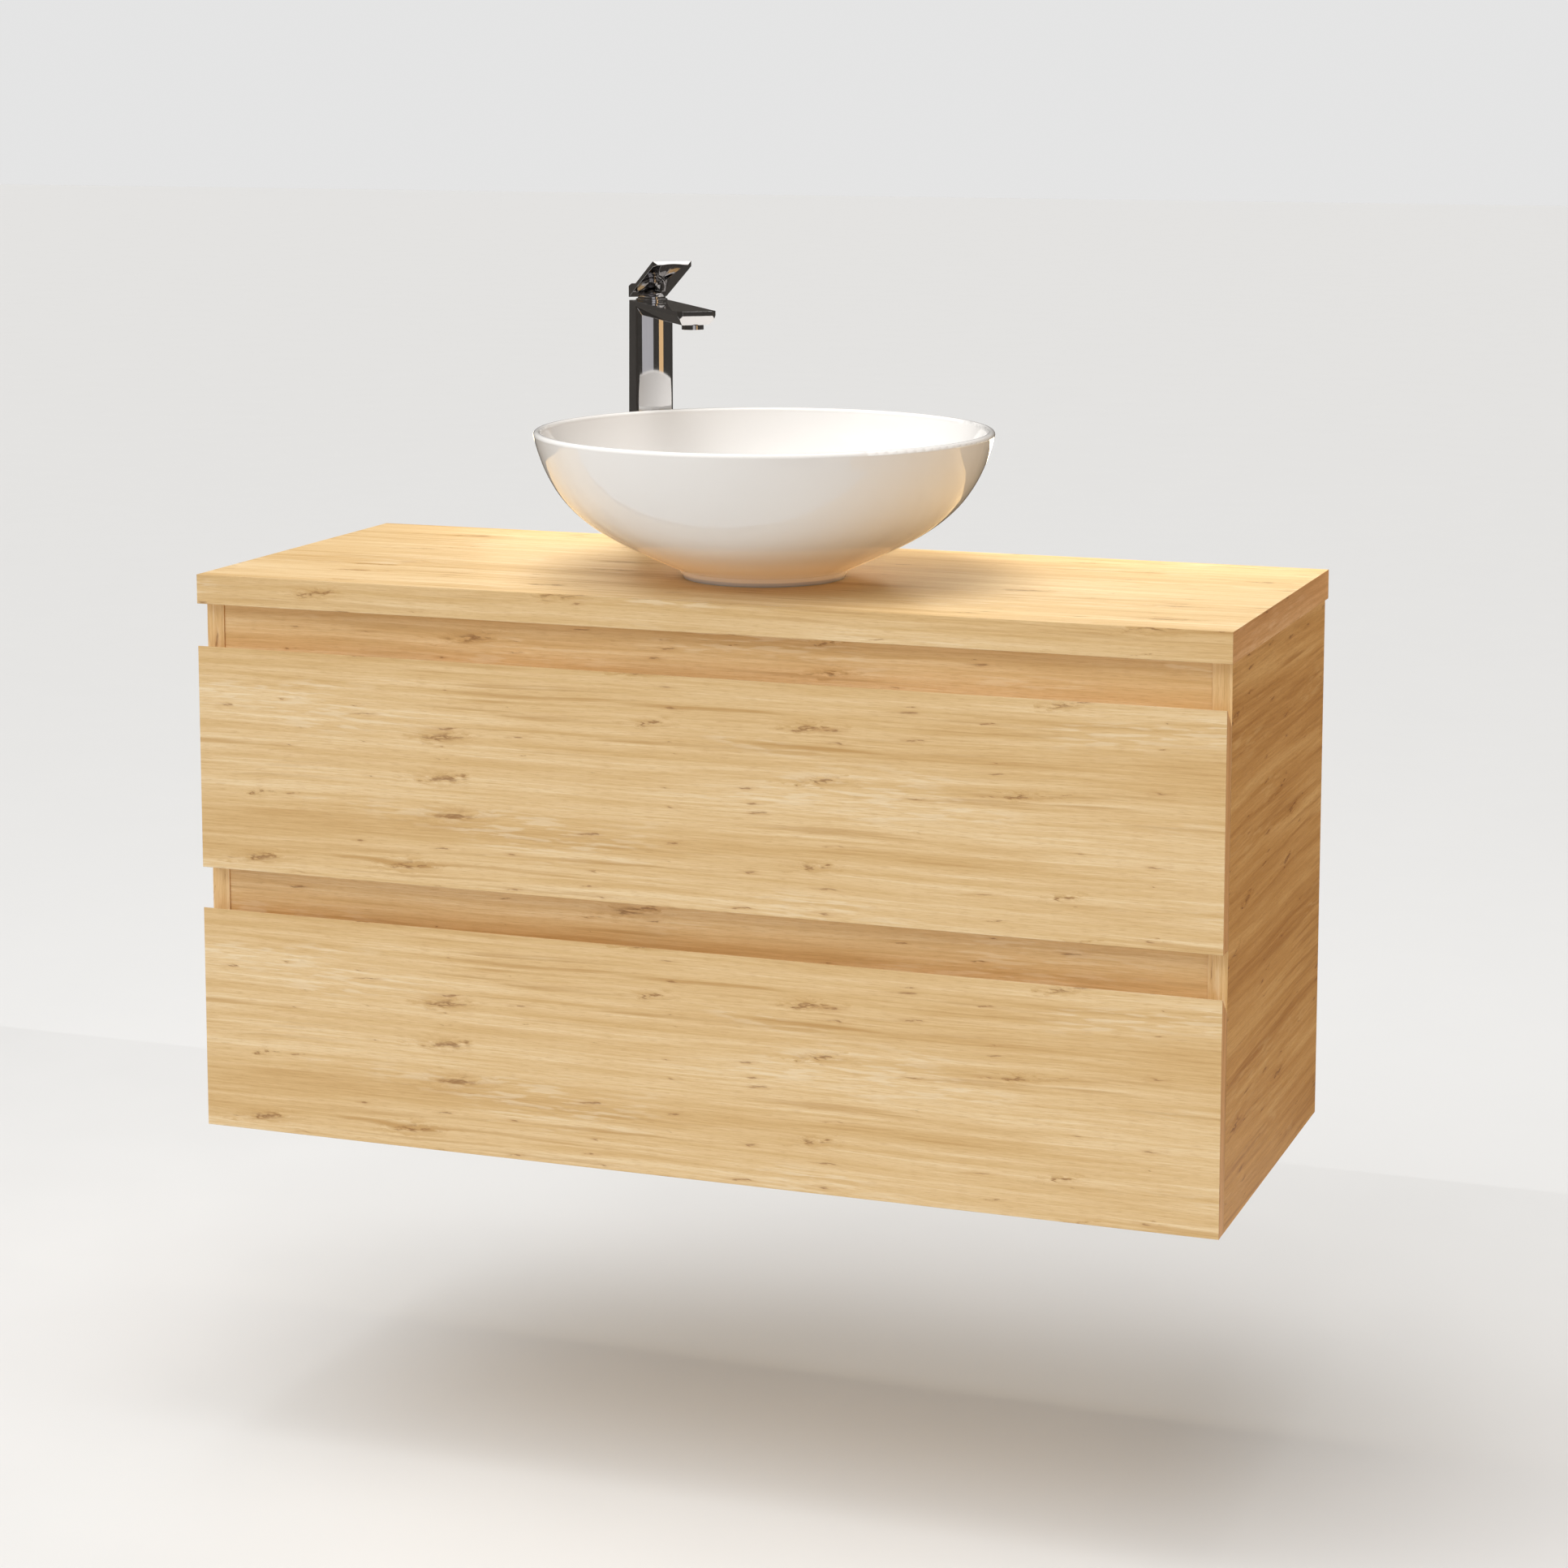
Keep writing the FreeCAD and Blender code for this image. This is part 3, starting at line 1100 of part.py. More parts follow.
def tap_fixings():
    """The stud, horseshoe washer and nut under the countertop, and the seal under the tap's base."""
    stud = rod(STUD_RADIUS, V(STUD_X, 0, -STUD_DROP), Z_AXIS, STUD_DROP + INLET_DEPTH)
    washer = rod(WASHER_RADIUS, V(0, 0, -TOP_THICKNESS - 3), Z_AXIS, 3)
    hose_slot = box((-20, 3), (-14, 14), (-TOP_THICKNESS - 4, -TOP_THICKNESS + 1))
    washer = washer.cut([hose_slot, rod(STUD_RADIUS + 0.2, V(STUD_X, 0, -TOP_THICKNESS - 4), Z_AXIS, 5)])
    nut = hexagon(7.5, V(STUD_X, 0, -TOP_THICKNESS - 13), 10.0, STUD_RADIUS + PILOT_CLEARANCE)
    seal = box((COLUMN_BACK_BASE + 0.5, COLUMN_FRONT - 0.5), (-18.6, 18.6), (0, 1))
    seal = seal.cut(rod(15.0, V(0, 0, 0), Z_AXIS, 1))
    return {
        "tap_stud": stud,
        "tap_fixing_washer": one_solid(washer),
        "tap_fixing_nut": nut,
        "tap_base_seal": one_solid(seal),
    }


def tap():
    pieces = {
        "tap_body": tap_body(),
        "tap_cartridge": tap_cartridge(),
        "tap_cartridge_rotor": tap_cartridge_rotor(),
        "tap_cartridge_collar": tap_collar(),
        "tap_lever": tap_lever(),
        "tap_lever_stem": tap_lever_stem(),
        "tap_lever_screw": tap_lever_screw(),
        "tap_aerator": tap_aerator(),
    }
    pieces.update(tap_fixings())
    return {name: placed(shape) for name, shape in pieces.items()}


# ---------------------------------------------------------------- output

def all_pieces():
    pieces = {}
    pieces.update(carcass())
    pieces.update(carcass_fittings())
    pieces.update(slide_set("upper", UPPER_SLIDE_HEIGHT))
    pieces.update(slide_set("lower", LOWER_SLIDE_HEIGHT))
    pieces.update(upper_drawer())
    pieces.update(lower_drawer())
    pieces.update(basin())
    pieces.update(trap())
    pieces.update(tap())
    return pieces


def main():
    os.makedirs("parts", exist_ok=True)
    pieces = all_pieces()
    for name, shape in sorted(pieces.items()):
        assert shape.isValid(), name
        assert all(solid.Volume > 0 for solid in shape.Solids), name
        shape.exportStep("parts/" + name + ".step")
    print(len(pieces), "nodes written")


main()
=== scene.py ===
import math
from collections import namedtuple

import bpy
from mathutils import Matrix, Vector

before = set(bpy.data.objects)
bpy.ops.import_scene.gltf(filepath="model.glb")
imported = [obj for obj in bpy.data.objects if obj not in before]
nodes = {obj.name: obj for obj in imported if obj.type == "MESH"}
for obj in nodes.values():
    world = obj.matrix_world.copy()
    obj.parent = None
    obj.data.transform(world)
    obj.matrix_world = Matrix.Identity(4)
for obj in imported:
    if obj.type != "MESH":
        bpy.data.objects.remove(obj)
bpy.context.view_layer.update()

# A wall-hung oak vanity with a white countertop basin and a chrome tap, in a plain studio.
# Metres, in the CAD frame: +X to the right, +Y into the wall, +Z up, and the wall is the plane y = 0.

# ---------------------------------------------------------------- key positions

COUNTER = 0.063
BASIN = Vector((0.008, -0.2265, COUNTER))
TAP_HEAD = Vector((-0.15, -0.09, COUNTER + 0.24))
FLOOR = -0.787

# ---------------------------------------------------------------- node trees


def linear(red, green, blue):
    """A shader colour from 8-bit display values, by the sRGB curve."""
    channels = []
    for value in (red, green, blue):
        value = value / 255
        channels.append(value / 12.92 if value <= 0.04045 else ((value + 0.055) / 1.055) ** 2.4)
    return (*channels, 1.0)


class Graph:
    """Adds and links the nodes of one node tree. Values are numbers, tuples or other nodes' outputs."""

    def __init__(self, tree):
        self.tree = tree

    def add(self, kind, inputs, **settings):
        node = self.tree.nodes.new(kind)
        for name, value in settings.items():
            setattr(node, name, value)
        for key, value in inputs.items():
            self.feed(node.inputs[key], value)
        return node

    def feed(self, socket, value):
        if isinstance(value, bpy.types.NodeSocket):
            self.tree.links.new(value, socket)
        else:
            socket.default_value = value

    def math(self, operation, first, second=0.0):
        return self.add("ShaderNodeMath", {0: first, 1: second}, operation=operation).outputs[0]

    def plus(self, first, *others):
        for other in others:
            first = self.math("ADD", first, other)
        return first

    def times(self, first, *others):
        for other in others:
            first = self.math("MULTIPLY", first, other)
        return first

    def minus(self, first, second):
        return self.math("SUBTRACT", first, second)

    def smooth(self, value, low, high):
        """0 below low, 1 above high, smooth between."""
        node = self.add("ShaderNodeMapRange", {"Value": value, "From Min": low, "From Max": high},
                        interpolation_type="SMOOTHSTEP")
        return node.outputs["Result"]

    def remap(self, value, low, high, start=0.0, end=1.0):
        """A value between start and end spread over low to high."""
        node = self.add("ShaderNodeMapRange", {"Value": value, "From Min": start, "From Max": end,
                                               "To Min": low, "To Max": high})
        return node.outputs["Result"]

    def mix(self, factor, first, second, blend="MIX"):
        node = self.add("ShaderNodeMix", {"Factor": factor}, data_type="RGBA", blend_type=blend)
        self.feed(node.inputs[6], first)
        self.feed(node.inputs[7], second)
        return node.outputs[2]

    def join(self, x, y):
        return self.add("ShaderNodeCombineXYZ", {"X": x, "Y": y}).outputs[0]

    def separate(self, vector):
        return self.add("ShaderNodeSeparateXYZ", {0: vector}).outputs

    def scaled(self, vector, factors):
        return self.add("ShaderNodeVectorMath", {0: vector, 1: factors}, operation="MULTIPLY").outputs[0]

    def noise(self, vector, detail, roughness=0.5, dimensions="3D"):
        node = self.add("ShaderNodeTexNoise", {"Vector": vector, "Scale": 1.0, "Detail": detail,
                                               "Roughness": roughness}, noise_dimensions=dimensions)
        return node.outputs["Fac"]


class Surface(Graph):
    """One material on a Principled shader."""

    def __init__(self, name):
        self.material = bpy.data.materials.new(name)
        self.material.use_nodes = True
        super().__init__(self.material.node_tree)
        self.shader = self.tree.nodes["Principled BSDF"]

    def set(self, **values):
        """Feeds the shader's inputs, named with underscores for spaces."""
        for name, value in values.items():
            self.feed(self.shader.inputs[name.replace("_", " ")], value)

    def relief(self, height, distance, edge_radius):
        """Height relief, with sharp edges shaded as if rounded to a radius."""
        rounded = self.add("ShaderNodeBevel", {"Radius": edge_radius}, samples=4)
        bump = self.add("ShaderNodeBump", {"Height": height, "Distance": distance,
                                           "Normal": rounded.outputs["Normal"]})
        self.set(Normal=bump.outputs["Normal"])


# ---------------------------------------------------------------- wood

# A noise pattern of the grain: repeats per metre along it and across it, a shift along it, and its detail.
Pattern = namedtuple("Pattern", "along across shift detail roughness", defaults=(0.5,))
WANDER = Pattern(1.6, 6.0, 0.0, 2.0)
WARP = Pattern(60.0, 260.0, 3.0, 3.0)
BANDS = Pattern(0.7, 21.0, 5.0, 3.0, 0.6)
STREAKS = Pattern(2.6, 110.0, 9.0, 4.0, 0.65)
LINES = Pattern(9.0, 440.0, 1.0, 5.0, 0.8)
PORES = Pattern(70.0, 1500.0, 2.0, 2.0, 0.6)
SMEAR_AREAS = Pattern(1.8, 15.0, 21.0, 2.0)
SMEAR_LINES = Pattern(4.2, 150.0, 17.0, 3.0)
PALE_AREAS = Pattern(3.4, 22.0, 31.0, 2.0)
PALE_MARKS = Pattern(24.0, 260.0, 37.0, 3.0)

# Scattered spots, one in each cell that isn't left empty. Their sizes are shares of a cell.
Spots = namedtuple("Spots", "along across shift empty_share smallest largest")
KNOTS = Spots(5.0, 24.0, 0.0, 0.64, 0.04, 0.12)
FLECKS = Spots(13.0, 90.0, 40.0, 0.74, 0.03, 0.14)
SPOT_RAGGEDNESS = 3.2
CELL_MARGIN = 0.09
CELL_RANDOMNESS = 0.9
# Where the core and the halo fade out, in sizes of the spot.
CORE_FADE = (0.1, 1.0)
HALO_FADE = (0.3, 2.6)

# Sideways swing of the grain, in metres: over a board, and round a knot.
GRAIN_SWING = 0.016
KNOT_SWING = 0.003

# Shares of the tone, and its colours from dark to pale.
BANDS_SHARE = 0.36
STREAKS_SHARE = 0.33
LINES_SHARE = 0.31
TONE_STOPS = [(0.32, linear(194, 154, 98)), (0.43, linear(211, 176, 122)),
              (0.53, linear(222, 191, 142)), (0.66, linear(237, 214, 174))]

# What is laid over the tone: how much of it, and its colour.
Mark = namedtuple("Mark", "amount colour")
SMEAR = Mark(0.50, linear(180, 136, 74))
PORE = Mark(0.34, linear(184, 142, 90))
PALE_MARK = Mark(0.34, linear(240, 224, 194))
KNOT_HALO = Mark(0.42, linear(186, 142, 80))
FLECK_HALO = Mark(0.30, linear(186, 140, 86))
CORE = Mark(1.0, linear(124, 78, 38))
KNOT_DARKNESS = 0.62
FLECK_DARKNESS = 0.58

# The levels of a pattern between which a mark sets in.
SMEAR_AREA_LEVELS = (0.47, 0.62)
SMEAR_LINE_LEVELS = (0.52, 0.70)
PALE_AREA_LEVELS = (0.54, 0.70)
PALE_MARK_LEVELS = (0.48, 0.64)
PORE_LEVELS = (0.50, 0.74)

# Relief of the decor in metres, and the shares of lines, pores and cores in it.
WOOD_RELIEF = 0.00012
LINE_DEPTH = 0.6
PORE_DEPTH = 0.5
CORE_DEPTH = 0.8
WOOD_ROUGHNESS = (0.42, 0.58)
WOOD_SPECULAR = 0.35
BOARD_EDGE = 0.0008

# A face cuts the grain when its normal lies along it by more than this.
END_FACING = 0.7


class Oak(Surface):
    """The light golden oak decor of one board, before its colour is put on."""

    def __init__(self, name, axis, strip, offset):
        super().__init__(name)
        self.along, self.across, self.on_strip = self.grain_coordinates(axis, strip, offset)
        self.warp = self.minus(self.pattern(WARP, self.across), 0.5)
        self.knot_core, self.knot_halo = self.spots(KNOTS)
        self.fleck_core, self.fleck_halo = self.spots(FLECKS)
        # The grain wanders slowly, and swings round each knot.
        swing = self.times(self.minus(self.pattern(WANDER, self.across), 0.5), GRAIN_SWING)
        self.bent = self.plus(self.across, swing, self.times(self.knot_halo, KNOT_SWING))

    def grain_coordinates(self, axis, strip, offset):
        """(along, across, on a strip) for a board whose grain runs along the axis, in metres.

        Across is the sum of the two other axes, so it runs on unbroken round the board's long edges.
        On the faces that cut the grain, the edging strip's grain runs along the strip axis instead.
        """
        coordinates = self.add("ShaderNodeTexCoord", {})
        place = self.separate(coordinates.outputs["Object"])
        facing = self.separate(coordinates.outputs["Normal"])

        def lines(direction):
            others = [place[name] for name in "XYZ" if name != direction]
            return place[direction], self.plus(*others)

        on_strip = self.math("GREATER_THAN", self.math("ABSOLUTE", facing[axis]), END_FACING)
        mixed = []
        for usual, at_end, shift in zip(lines(axis), lines(strip), offset):
            switch = self.add("ShaderNodeMix", {0: on_strip, 2: usual, 3: at_end}, data_type="FLOAT")
            mixed.append(self.plus(switch.outputs[0], shift))
        return (*mixed, on_strip)

    def place(self, kind, across):
        """A point's place in a kind of pattern or spots, as (along, across)."""
        along = self.plus(self.times(self.along, kind.along), kind.shift)
        return along, self.times(across, kind.across)

    def pattern(self, kind, across):
        return self.noise(self.join(*self.place(kind, across)), kind.detail, kind.roughness, "2D")

    def spots(self, kind):
        """(dark core, soft surround) of ragged spots."""
        ragged = self.times(self.warp, kind.largest * SPOT_RAGGEDNESS)
        point = self.join(*[self.plus(line, ragged) for line in self.place(kind, self.across)])
        inputs = {"Vector": point, "Scale": 1.0, "Randomness": CELL_RANDOMNESS}
        cells = self.add("ShaderNodeTexVoronoi", inputs, voronoi_dimensions="2D")
        borders = self.add("ShaderNodeTexVoronoi", inputs, voronoi_dimensions="2D",
                           feature="DISTANCE_TO_EDGE")
        chance = self.add("ShaderNodeSeparateColor", {0: cells.outputs["Color"]})
        present = self.times(self.math("GREATER_THAN", chance.outputs[0], kind.empty_share),
                             self.smooth(borders.outputs["Distance"], 0.0, CELL_MARGIN))
        size = self.remap(chance.outputs[1], kind.smallest, kind.largest)
        nearness = self.math("DIVIDE", cells.outputs["Distance"], size)
        core = self.times(present, self.minus(1.0, self.smooth(nearness, *CORE_FADE)))
        halo = self.times(present, self.minus(1.0, self.smooth(nearness, *HALO_FADE)))
        return core, halo

    def tone(self, bands, streaks, lines, contrast):
        """The base colour, from tan to pale."""
        level = self.plus(self.times(bands, BANDS_SHARE), self.times(streaks, STREAKS_SHARE),
                          self.times(lines, LINES_SHARE))
        level = self.plus(self.times(self.minus(level, 0.5), contrast), 0.5)
        ramp = self.add("ShaderNodeValToRGB", {"Fac": level})
        stops = ramp.color_ramp.elements
        while len(stops) < len(TONE_STOPS):
            stops.new(0.5)
        for stop, (position, colour) in zip(stops, TONE_STOPS):
            stop.position = position
            stop.color = colour
        return ramp.outputs["Color"]

    def patches(self, areas, area_levels, marks, mark_levels):
        """Marks that show only inside some areas."""
        inside = self.smooth(self.pattern(areas, self.across), *area_levels)
        return self.times(inside, self.smooth(self.pattern(marks, self.bent), *mark_levels))


WHITE = (1.0, 1.0, 1.0, 1.0)
STRIP_TINT = (1.08, 0.80, 0.58, 1.0)


def oak(name, axis, strip, offset, tint=WHITE, strip_tint=STRIP_TINT, knots=1.0, contrast=1.0):
    """Oak decor with long pale and tan streaks, dark smears, short dark knots, fine pores."""
    wood = Oak(name, axis, strip, offset)
    streaks = wood.pattern(STREAKS, wood.bent)
    lines = wood.pattern(LINES, wood.bent)
    pores = wood.pattern(PORES, wood.bent)
    smears = wood.patches(SMEAR_AREAS, SMEAR_AREA_LEVELS, SMEAR_LINES, SMEAR_LINE_LEVELS)
    pale_marks = wood.patches(PALE_AREAS, PALE_AREA_LEVELS, PALE_MARKS, PALE_MARK_LEVELS)
    core = wood.math("MAXIMUM", wood.times(wood.knot_core, KNOT_DARKNESS),
                     wood.times(wood.fleck_core, FLECK_DARKNESS))

    colour = wood.tone(wood.pattern(BANDS, wood.bent), streaks, lines, contrast)
    for mask, mark, share in [(smears, SMEAR, 1.0), (wood.smooth(pores, *PORE_LEVELS), PORE, 1.0),
                              (pale_marks, PALE_MARK, 1.0), (wood.knot_halo, KNOT_HALO, knots),
                              (wood.fleck_halo, FLECK_HALO, knots), (core, CORE, knots)]:
        colour = wood.mix(wood.times(mask, mark.amount * share), colour, mark.colour)
    colour = wood.mix(1.0, colour, wood.mix(wood.on_strip, tint, strip_tint), "MULTIPLY")

    height = wood.minus(wood.times(lines, -LINE_DEPTH), wood.times(pores, PORE_DEPTH))
    height = wood.minus(height, wood.times(core, CORE_DEPTH))
    wood.set(Base_Color=colour, Roughness=wood.remap(streaks, *WOOD_ROUGHNESS),
             Specular_IOR_Level=WOOD_SPECULAR)
    wood.relief(height, WOOD_RELIEF, BOARD_EDGE)
    return wood.material


# ---------------------------------------------------------------- other materials

CLOUDS_PER_METRE = 9.0
PLAIN_EDGE = 0.0006
METAL_LINES_PER_METRE = 1400.0
METAL_LINE_ENDS_PER_METRE = 12.0
METAL_RELIEF = 0.00003
BRUSHED_EDGE = 0.0003


def plain(name, colour, roughness, metallic=0.0, spread=0.06, grain=220.0, bump=0.00004, specular=0.5,
          coat=0.0):
    """A surface with slight mottling in colour, roughness and height. Grain is its repeats per metre."""
    look = Surface(name)
    place = look.add("ShaderNodeTexCoord", {}).outputs["Object"]
    cloud = look.noise(look.scaled(place, (CLOUDS_PER_METRE,) * 3), detail=3.0)
    fine = look.noise(look.scaled(place, (grain,) * 3), detail=2.0)
    darker = (*[channel * (1.0 - spread * 2) for channel in colour[:3]], 1.0)
    look.set(Base_Color=look.mix(look.smooth(cloud, 0.3, 0.7), colour, darker),
             Roughness=look.remap(fine, roughness * 0.85, roughness * 1.15),
             Metallic=metallic, Specular_IOR_Level=specular, Coat_Weight=coat)
    look.relief(fine, bump, PLAIN_EDGE)
    return look.material


def brushed(name, colour, roughness, axis):
    """Drawn or rolled metal with fine lines along one axis."""
    look = Surface(name)
    place = look.add("ShaderNodeTexCoord", {}).outputs["Object"]
    stretch = [METAL_LINES_PER_METRE] * 3
    stretch["xyz".index(axis)] = METAL_LINE_ENDS_PER_METRE
    lines = look.noise(look.scaled(place, tuple(stretch)), detail=2.0)
    dull = (*[channel * 0.78 for channel in colour[:3]], 1.0)
    look.set(Base_Color=look.mix(lines, dull, colour), Metallic=1.0,
             Roughness=look.remap(lines, roughness * 0.7, roughness * 1.3))
    look.relief(lines, METAL_RELIEF, BRUSHED_EDGE)
    return look.material


# The two fronts are offset by their distance apart, so they carry the same pattern.
RAIL_TINT = (1.10, 1.03, 0.93, 1.0)
# The side panels' faces are tinted darker and warmer than the other oak: painted shade, with a painted warm
# cast standing in for light from warm surroundings.
SIDE_PAINTED_SHADE_TINT = (0.97, 0.70, 0.37, 1.0)
BOARD_TINT = (0.96, 0.95, 0.93, 1.0)
OAK_FRONT_UPPER = oak("oak_upper_front", "X", "Z", (0.0, 0.220))
OAK_FRONT_LOWER = oak("oak_lower_front", "X", "Z", (0.0, 0.475))
OAK_TOP = oak("oak_countertop", "X", "Y", (3.1, 1.7))
OAK_RAIL = oak("oak_rails", "X", "Z", (5.4, 0.9), RAIL_TINT)
# The side panels get the painted shade tint on their faces; their edges that cut the grain keep the rails'
# tint.
OAK_SIDE = oak("oak_side_panels", "Y", "Z", (1.3, 4.2), SIDE_PAINTED_SHADE_TINT, RAIL_TINT, contrast=1.25)
OAK_BOTTOM = oak("oak_bottom_panel", "X", "Y", (7.2, 2.6))
BOARD_LIGHT = oak("oak_drawer_boards", "X", "Z", (9.0, 5.0), BOARD_TINT, BOARD_TINT, knots=0.2)
BOARD_SIDE = oak("oak_drawer_sides", "Y", "Z", (6.0, 3.0), BOARD_TINT, BOARD_TINT, knots=0.2)
BACK_BOARD = plain("hardboard", linear(176, 142, 104), 0.75, grain=500.0, bump=0.0001, specular=0.2)
BEECH = plain("beech", linear(205, 165, 120), 0.6)
CERAMIC = plain("glazed_ceramic", linear(234, 231, 227), 0.055, spread=0.006, grain=14.0, bump=0.00006,
                coat=0.3)
CHROME = plain("chrome", (0.66, 0.65, 0.65, 1.0), 0.04, metallic=1.0, spread=0.01, grain=60.0, bump=0.000002)
STEEL = brushed("zinc_steel", (0.60, 0.61, 0.63, 1.0), 0.34, "y")
DIE_CAST = plain("die_cast_zinc", (0.50, 0.50, 0.52, 1.0), 0.42, metallic=1.0, grain=400.0)
BRASS = plain("brass", (0.72, 0.52, 0.24, 1.0), 0.28, metallic=1.0, grain=300.0)
WHITE_PLASTIC = plain("white_plastic", linear(238, 238, 235), 0.28, spread=0.01, grain=90.0, bump=0.00002)
GREY_PLASTIC = plain("grey_plastic", linear(165, 166, 168), 0.5, spread=0.02, grain=700.0, bump=0.00005)
BLACK_RUBBER = plain("black_rubber", linear(34, 34, 35), 0.75, spread=0.1, grain=500.0, specular=0.3)
CLEAR_PAD = plain("soft_pad", linear(214, 214, 208), 0.35, spread=0.03)

# Every node's material. Nodes that aren't named here are drawer backs, drawer bottoms and the rear rail.
LOOKS = {
    "upper_drawer_front": OAK_FRONT_UPPER, "lower_drawer_front": OAK_FRONT_LOWER, "countertop": OAK_TOP,
    "top_front_rail": OAK_RAIL, "middle_rail": OAK_RAIL, "left_side_panel": OAK_SIDE,
    "right_side_panel": OAK_SIDE, "bottom_panel": OAK_BOTTOM, "back_panel": BACK_BOARD,
    "carcass_dowels": BEECH, "cam_fittings": DIE_CAST, "countertop_brackets": STEEL, "bracket_screws": STEEL,
    "hanger_housings": WHITE_PLASTIC, "hanger_hooks": STEEL, "wall_plates": STEEL,
    "hanger_adjusting_screws": STEEL, "upper_drawer_trap_recess": GREY_PLASTIC, "basin_bowl": CERAMIC,
    "basin_seal_ring": CLEAR_PAD, "waste_body": CHROME, "waste_plug": CHROME, "waste_seals": BLACK_RUBBER,
    "waste_lock_nut": BRASS, "trap_head": WHITE_PLASTIC, "trap_cup": WHITE_PLASTIC,
    "trap_nuts": WHITE_PLASTIC, "trap_outlet_pipe": WHITE_PLASTIC, "tap_body": CHROME,
    "tap_base_seal": BLACK_RUBBER, "tap_cartridge": GREY_PLASTIC, "tap_cartridge_rotor": WHITE_PLASTIC,
    "tap_cartridge_collar": CHROME, "tap_lever": CHROME, "tap_lever_stem": STEEL, "tap_lever_screw": STEEL,
    "tap_aerator": CHROME, "tap_stud": STEEL, "tap_fixing_washer": STEEL, "tap_fixing_nut": BRASS,
}
for drawer in ("upper", "lower"):
    for part in ("outer", "middle", "inner"):
        LOOKS[drawer + "_slide_" + part + "_rails"] = STEEL
    for hand in ("left", "right"):
        LOOKS[drawer + "_drawer_" + hand + "_side"] = BOARD_SIDE
    LOOKS[drawer + "_drawer_front_fixings"] = STEEL
    LOOKS[drawer + "_drawer_bumper_pads"] = CLEAR_PAD

for name, piece in nodes.items():
    piece.data.materials.clear()
    piece.data.materials.append(LOOKS.get(name, BOARD_LIGHT))

# ---------------------------------------------------------------- floor and reflected surroundings

FLOOR_SIZE = 60
ROOM_CENTRE = (0.0, -0.9, 0.45)
ROOM_SIZE = (5.2, 3.4, 2.6)
ROOM_COLOUR = (0.05, 0.046, 0.042, 1.0)
ROOM_GLOW = 0.35


def mirror_only(item, colour, strength=1.0):
    """Leaves a surface to be seen by mirror reflections alone."""
    look = plain(item.name, colour, 0.9, spread=0.05, grain=3.0, specular=0.0)
    shader = look.node_tree.nodes["Principled BSDF"]
    shader.inputs["Emission Color"].default_value = colour
    shader.inputs["Emission Strength"].default_value = strength
    item.data.materials.append(look)
    item.visible_camera = False
    item.visible_diffuse = False
    item.visible_shadow = False
    item.visible_transmission = False


def card(name, direction, distance, size, colour):
    """A glowing sheet that faces the tap's head from one side."""
    facing = Vector(direction).normalized()
    bpy.ops.mesh.primitive_plane_add(size=1, location=TAP_HEAD + facing * distance)
    sheet = bpy.context.object
    sheet.name = name
    sheet.rotation_euler = facing.to_track_quat("Z", "Y").to_euler()
    sheet.scale = (*size, 1.0)
    mirror_only(sheet, colour)


def studio_floor():
    bpy.ops.mesh.primitive_plane_add(size=FLOOR_SIZE, location=(0, 0, FLOOR))
    floor = bpy.context.object
    floor.name = "studio_floor"
    floor.data.materials.append(plain("studio_floor", linear(222, 222, 221), 0.6, spread=0.002, grain=5.0))


def reflections():
    """The dark room and the light and golden surfaces that the chrome mirrors."""
    bpy.ops.mesh.primitive_cube_add(size=1, location=ROOM_CENTRE)
    room = bpy.context.object
    room.name = "dark_room"
    room.scale = ROOM_SIZE
    mirror_only(room, ROOM_COLOUR, ROOM_GLOW)
    card("card_grey", direction=(0.60, -0.80, -0.12), distance=1.25, size=(0.50, 1.1),
         colour=(0.30, 0.30, 0.32, 1.0))
    card("card_gold", direction=(0.90, -0.42, -0.12), distance=1.25, size=(0.20, 1.1),
         colour=(0.52, 0.34, 0.17, 1.0))
    card("card_above", direction=(0.25, 0.11, 0.96), distance=0.9, size=(0.9, 0.7),
         colour=(1.0, 0.99, 0.97, 1.0))


# ---------------------------------------------------------------- light

# Strength of the sky by height, and its warm side by direction along X.
SKY_HEIGHTS = (0.02, 0.45)
SKY_HORIZON = 0.78
SKY_TOP = 0.54
WARM_SIDE = (0.35, 0.95)
WARM_COLOUR = (0.66, 0.46, 0.28, 1.0)
SUN_STRENGTH = 2.05
SUN_SPREAD = math.radians(70)
SUN_DIRECTION = (0.30, 0.5, -1.0)


def sky():
    world = bpy.data.worlds.new("studio")
    bpy.context.scene.world = world
    world.use_nodes = True
    graph = Graph(world.node_tree)
    direction = graph.separate(graph.add("ShaderNodeTexCoord", {}).outputs["Generated"])
    strength = graph.remap(direction["Z"], SKY_HORIZON, SKY_TOP, *SKY_HEIGHTS)
    warmth = graph.remap(direction["X"], 0.0, 1.0, *WARM_SIDE)
    background = world.node_tree.nodes["Background"]
    graph.feed(background.inputs["Strength"], strength)
    graph.feed(background.inputs["Color"], graph.mix(warmth, WHITE, WARM_COLOUR))


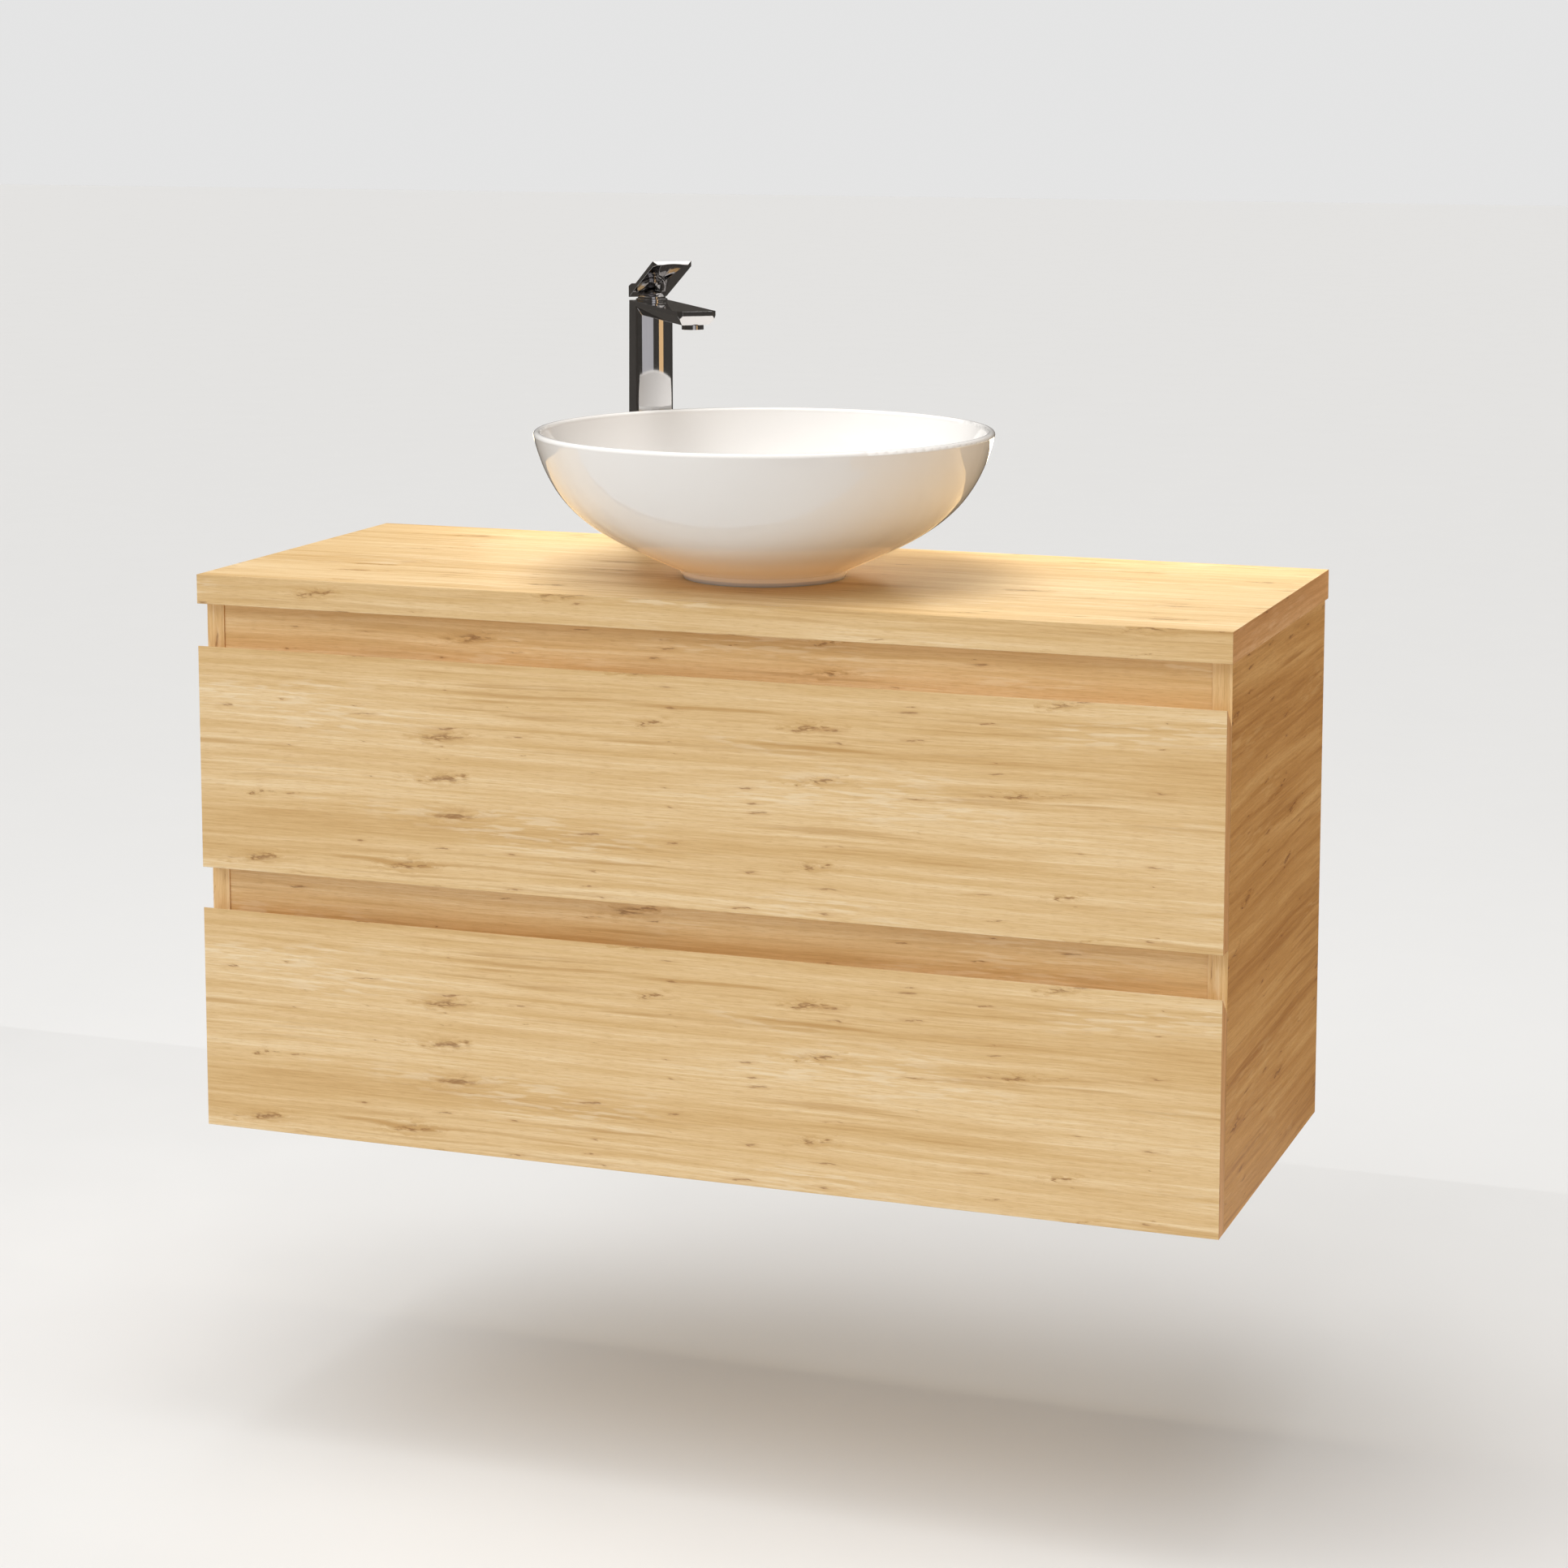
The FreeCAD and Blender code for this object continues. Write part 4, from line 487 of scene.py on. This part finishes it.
def daylight():
    """A soft sun from high in front, on the left."""
    sun = bpy.data.lights.new("daylight", "SUN")
    sun.energy = SUN_STRENGTH
    sun.angle = SUN_SPREAD
    holder = bpy.data.objects.new("daylight", sun)
    holder.rotation_euler = Vector(SUN_DIRECTION).to_track_quat("-Z", "Y").to_euler()
    bpy.context.collection.objects.link(holder)


def area_light(name, place, target, size, power, colour=(1.0, 1.0, 1.0), shape="RECTANGLE"):
    lamp = bpy.data.lights.new(name, "AREA")
    lamp.shape = shape
    lamp.size, lamp.size_y = size
    lamp.energy = power
    lamp.color = colour
    holder = bpy.data.objects.new(name, lamp)
    holder.location = place
    holder.rotation_euler = (Vector(target) - Vector(place)).to_track_quat("-Z", "Y").to_euler()
    holder.visible_camera = False
    bpy.context.collection.objects.link(holder)


def area_lights():
    """A softbox above, a warm glow on the top's rear edge, and warm light thrown up at the bowl's foot."""
    area_light("top", place=(-0.1, -0.45, 2.3), target=(0, -0.25, 0.0), size=(1.5, 0.9), power=24)
    area_light("rear_glow", place=(0.08, 0.07, COUNTER + 0.09), target=(0.08, -0.01, COUNTER),
               size=(1.0, 0.04), power=0.7, colour=(1.0, 0.86, 0.62))
    area_light("counter_bounce", place=BASIN + Vector((0, 0, 0.004)), target=BASIN + Vector((0, 0, 0.1)),
               size=(0.26, 0.26), power=0.045, colour=(1.0, 0.55, 0.22), shape="DISK")


# ---------------------------------------------------------------- camera

CAMERA_PLACE = (1.1811, -3.3719, 0.5496)
CAMERA_YAW = 0.3514
CAMERA_PITCH = 0.1320
CAMERA_LENS = 81.97
CAMERA_SHIFT = -0.16


def camera():
    data = bpy.data.cameras.new("camera")
    data.lens = CAMERA_LENS
    data.sensor_width = 36.0
    data.shift_y = CAMERA_SHIFT
    holder = bpy.data.objects.new("camera", data)
    holder.location = CAMERA_PLACE
    holder.rotation_euler = (math.pi / 2 - CAMERA_PITCH, 0.0, CAMERA_YAW)
    bpy.context.collection.objects.link(holder)
    bpy.context.scene.camera = holder


studio_floor()
reflections()
sky()
daylight()
area_lights()
camera()
bpy.context.scene.view_settings.view_transform = "Standard"
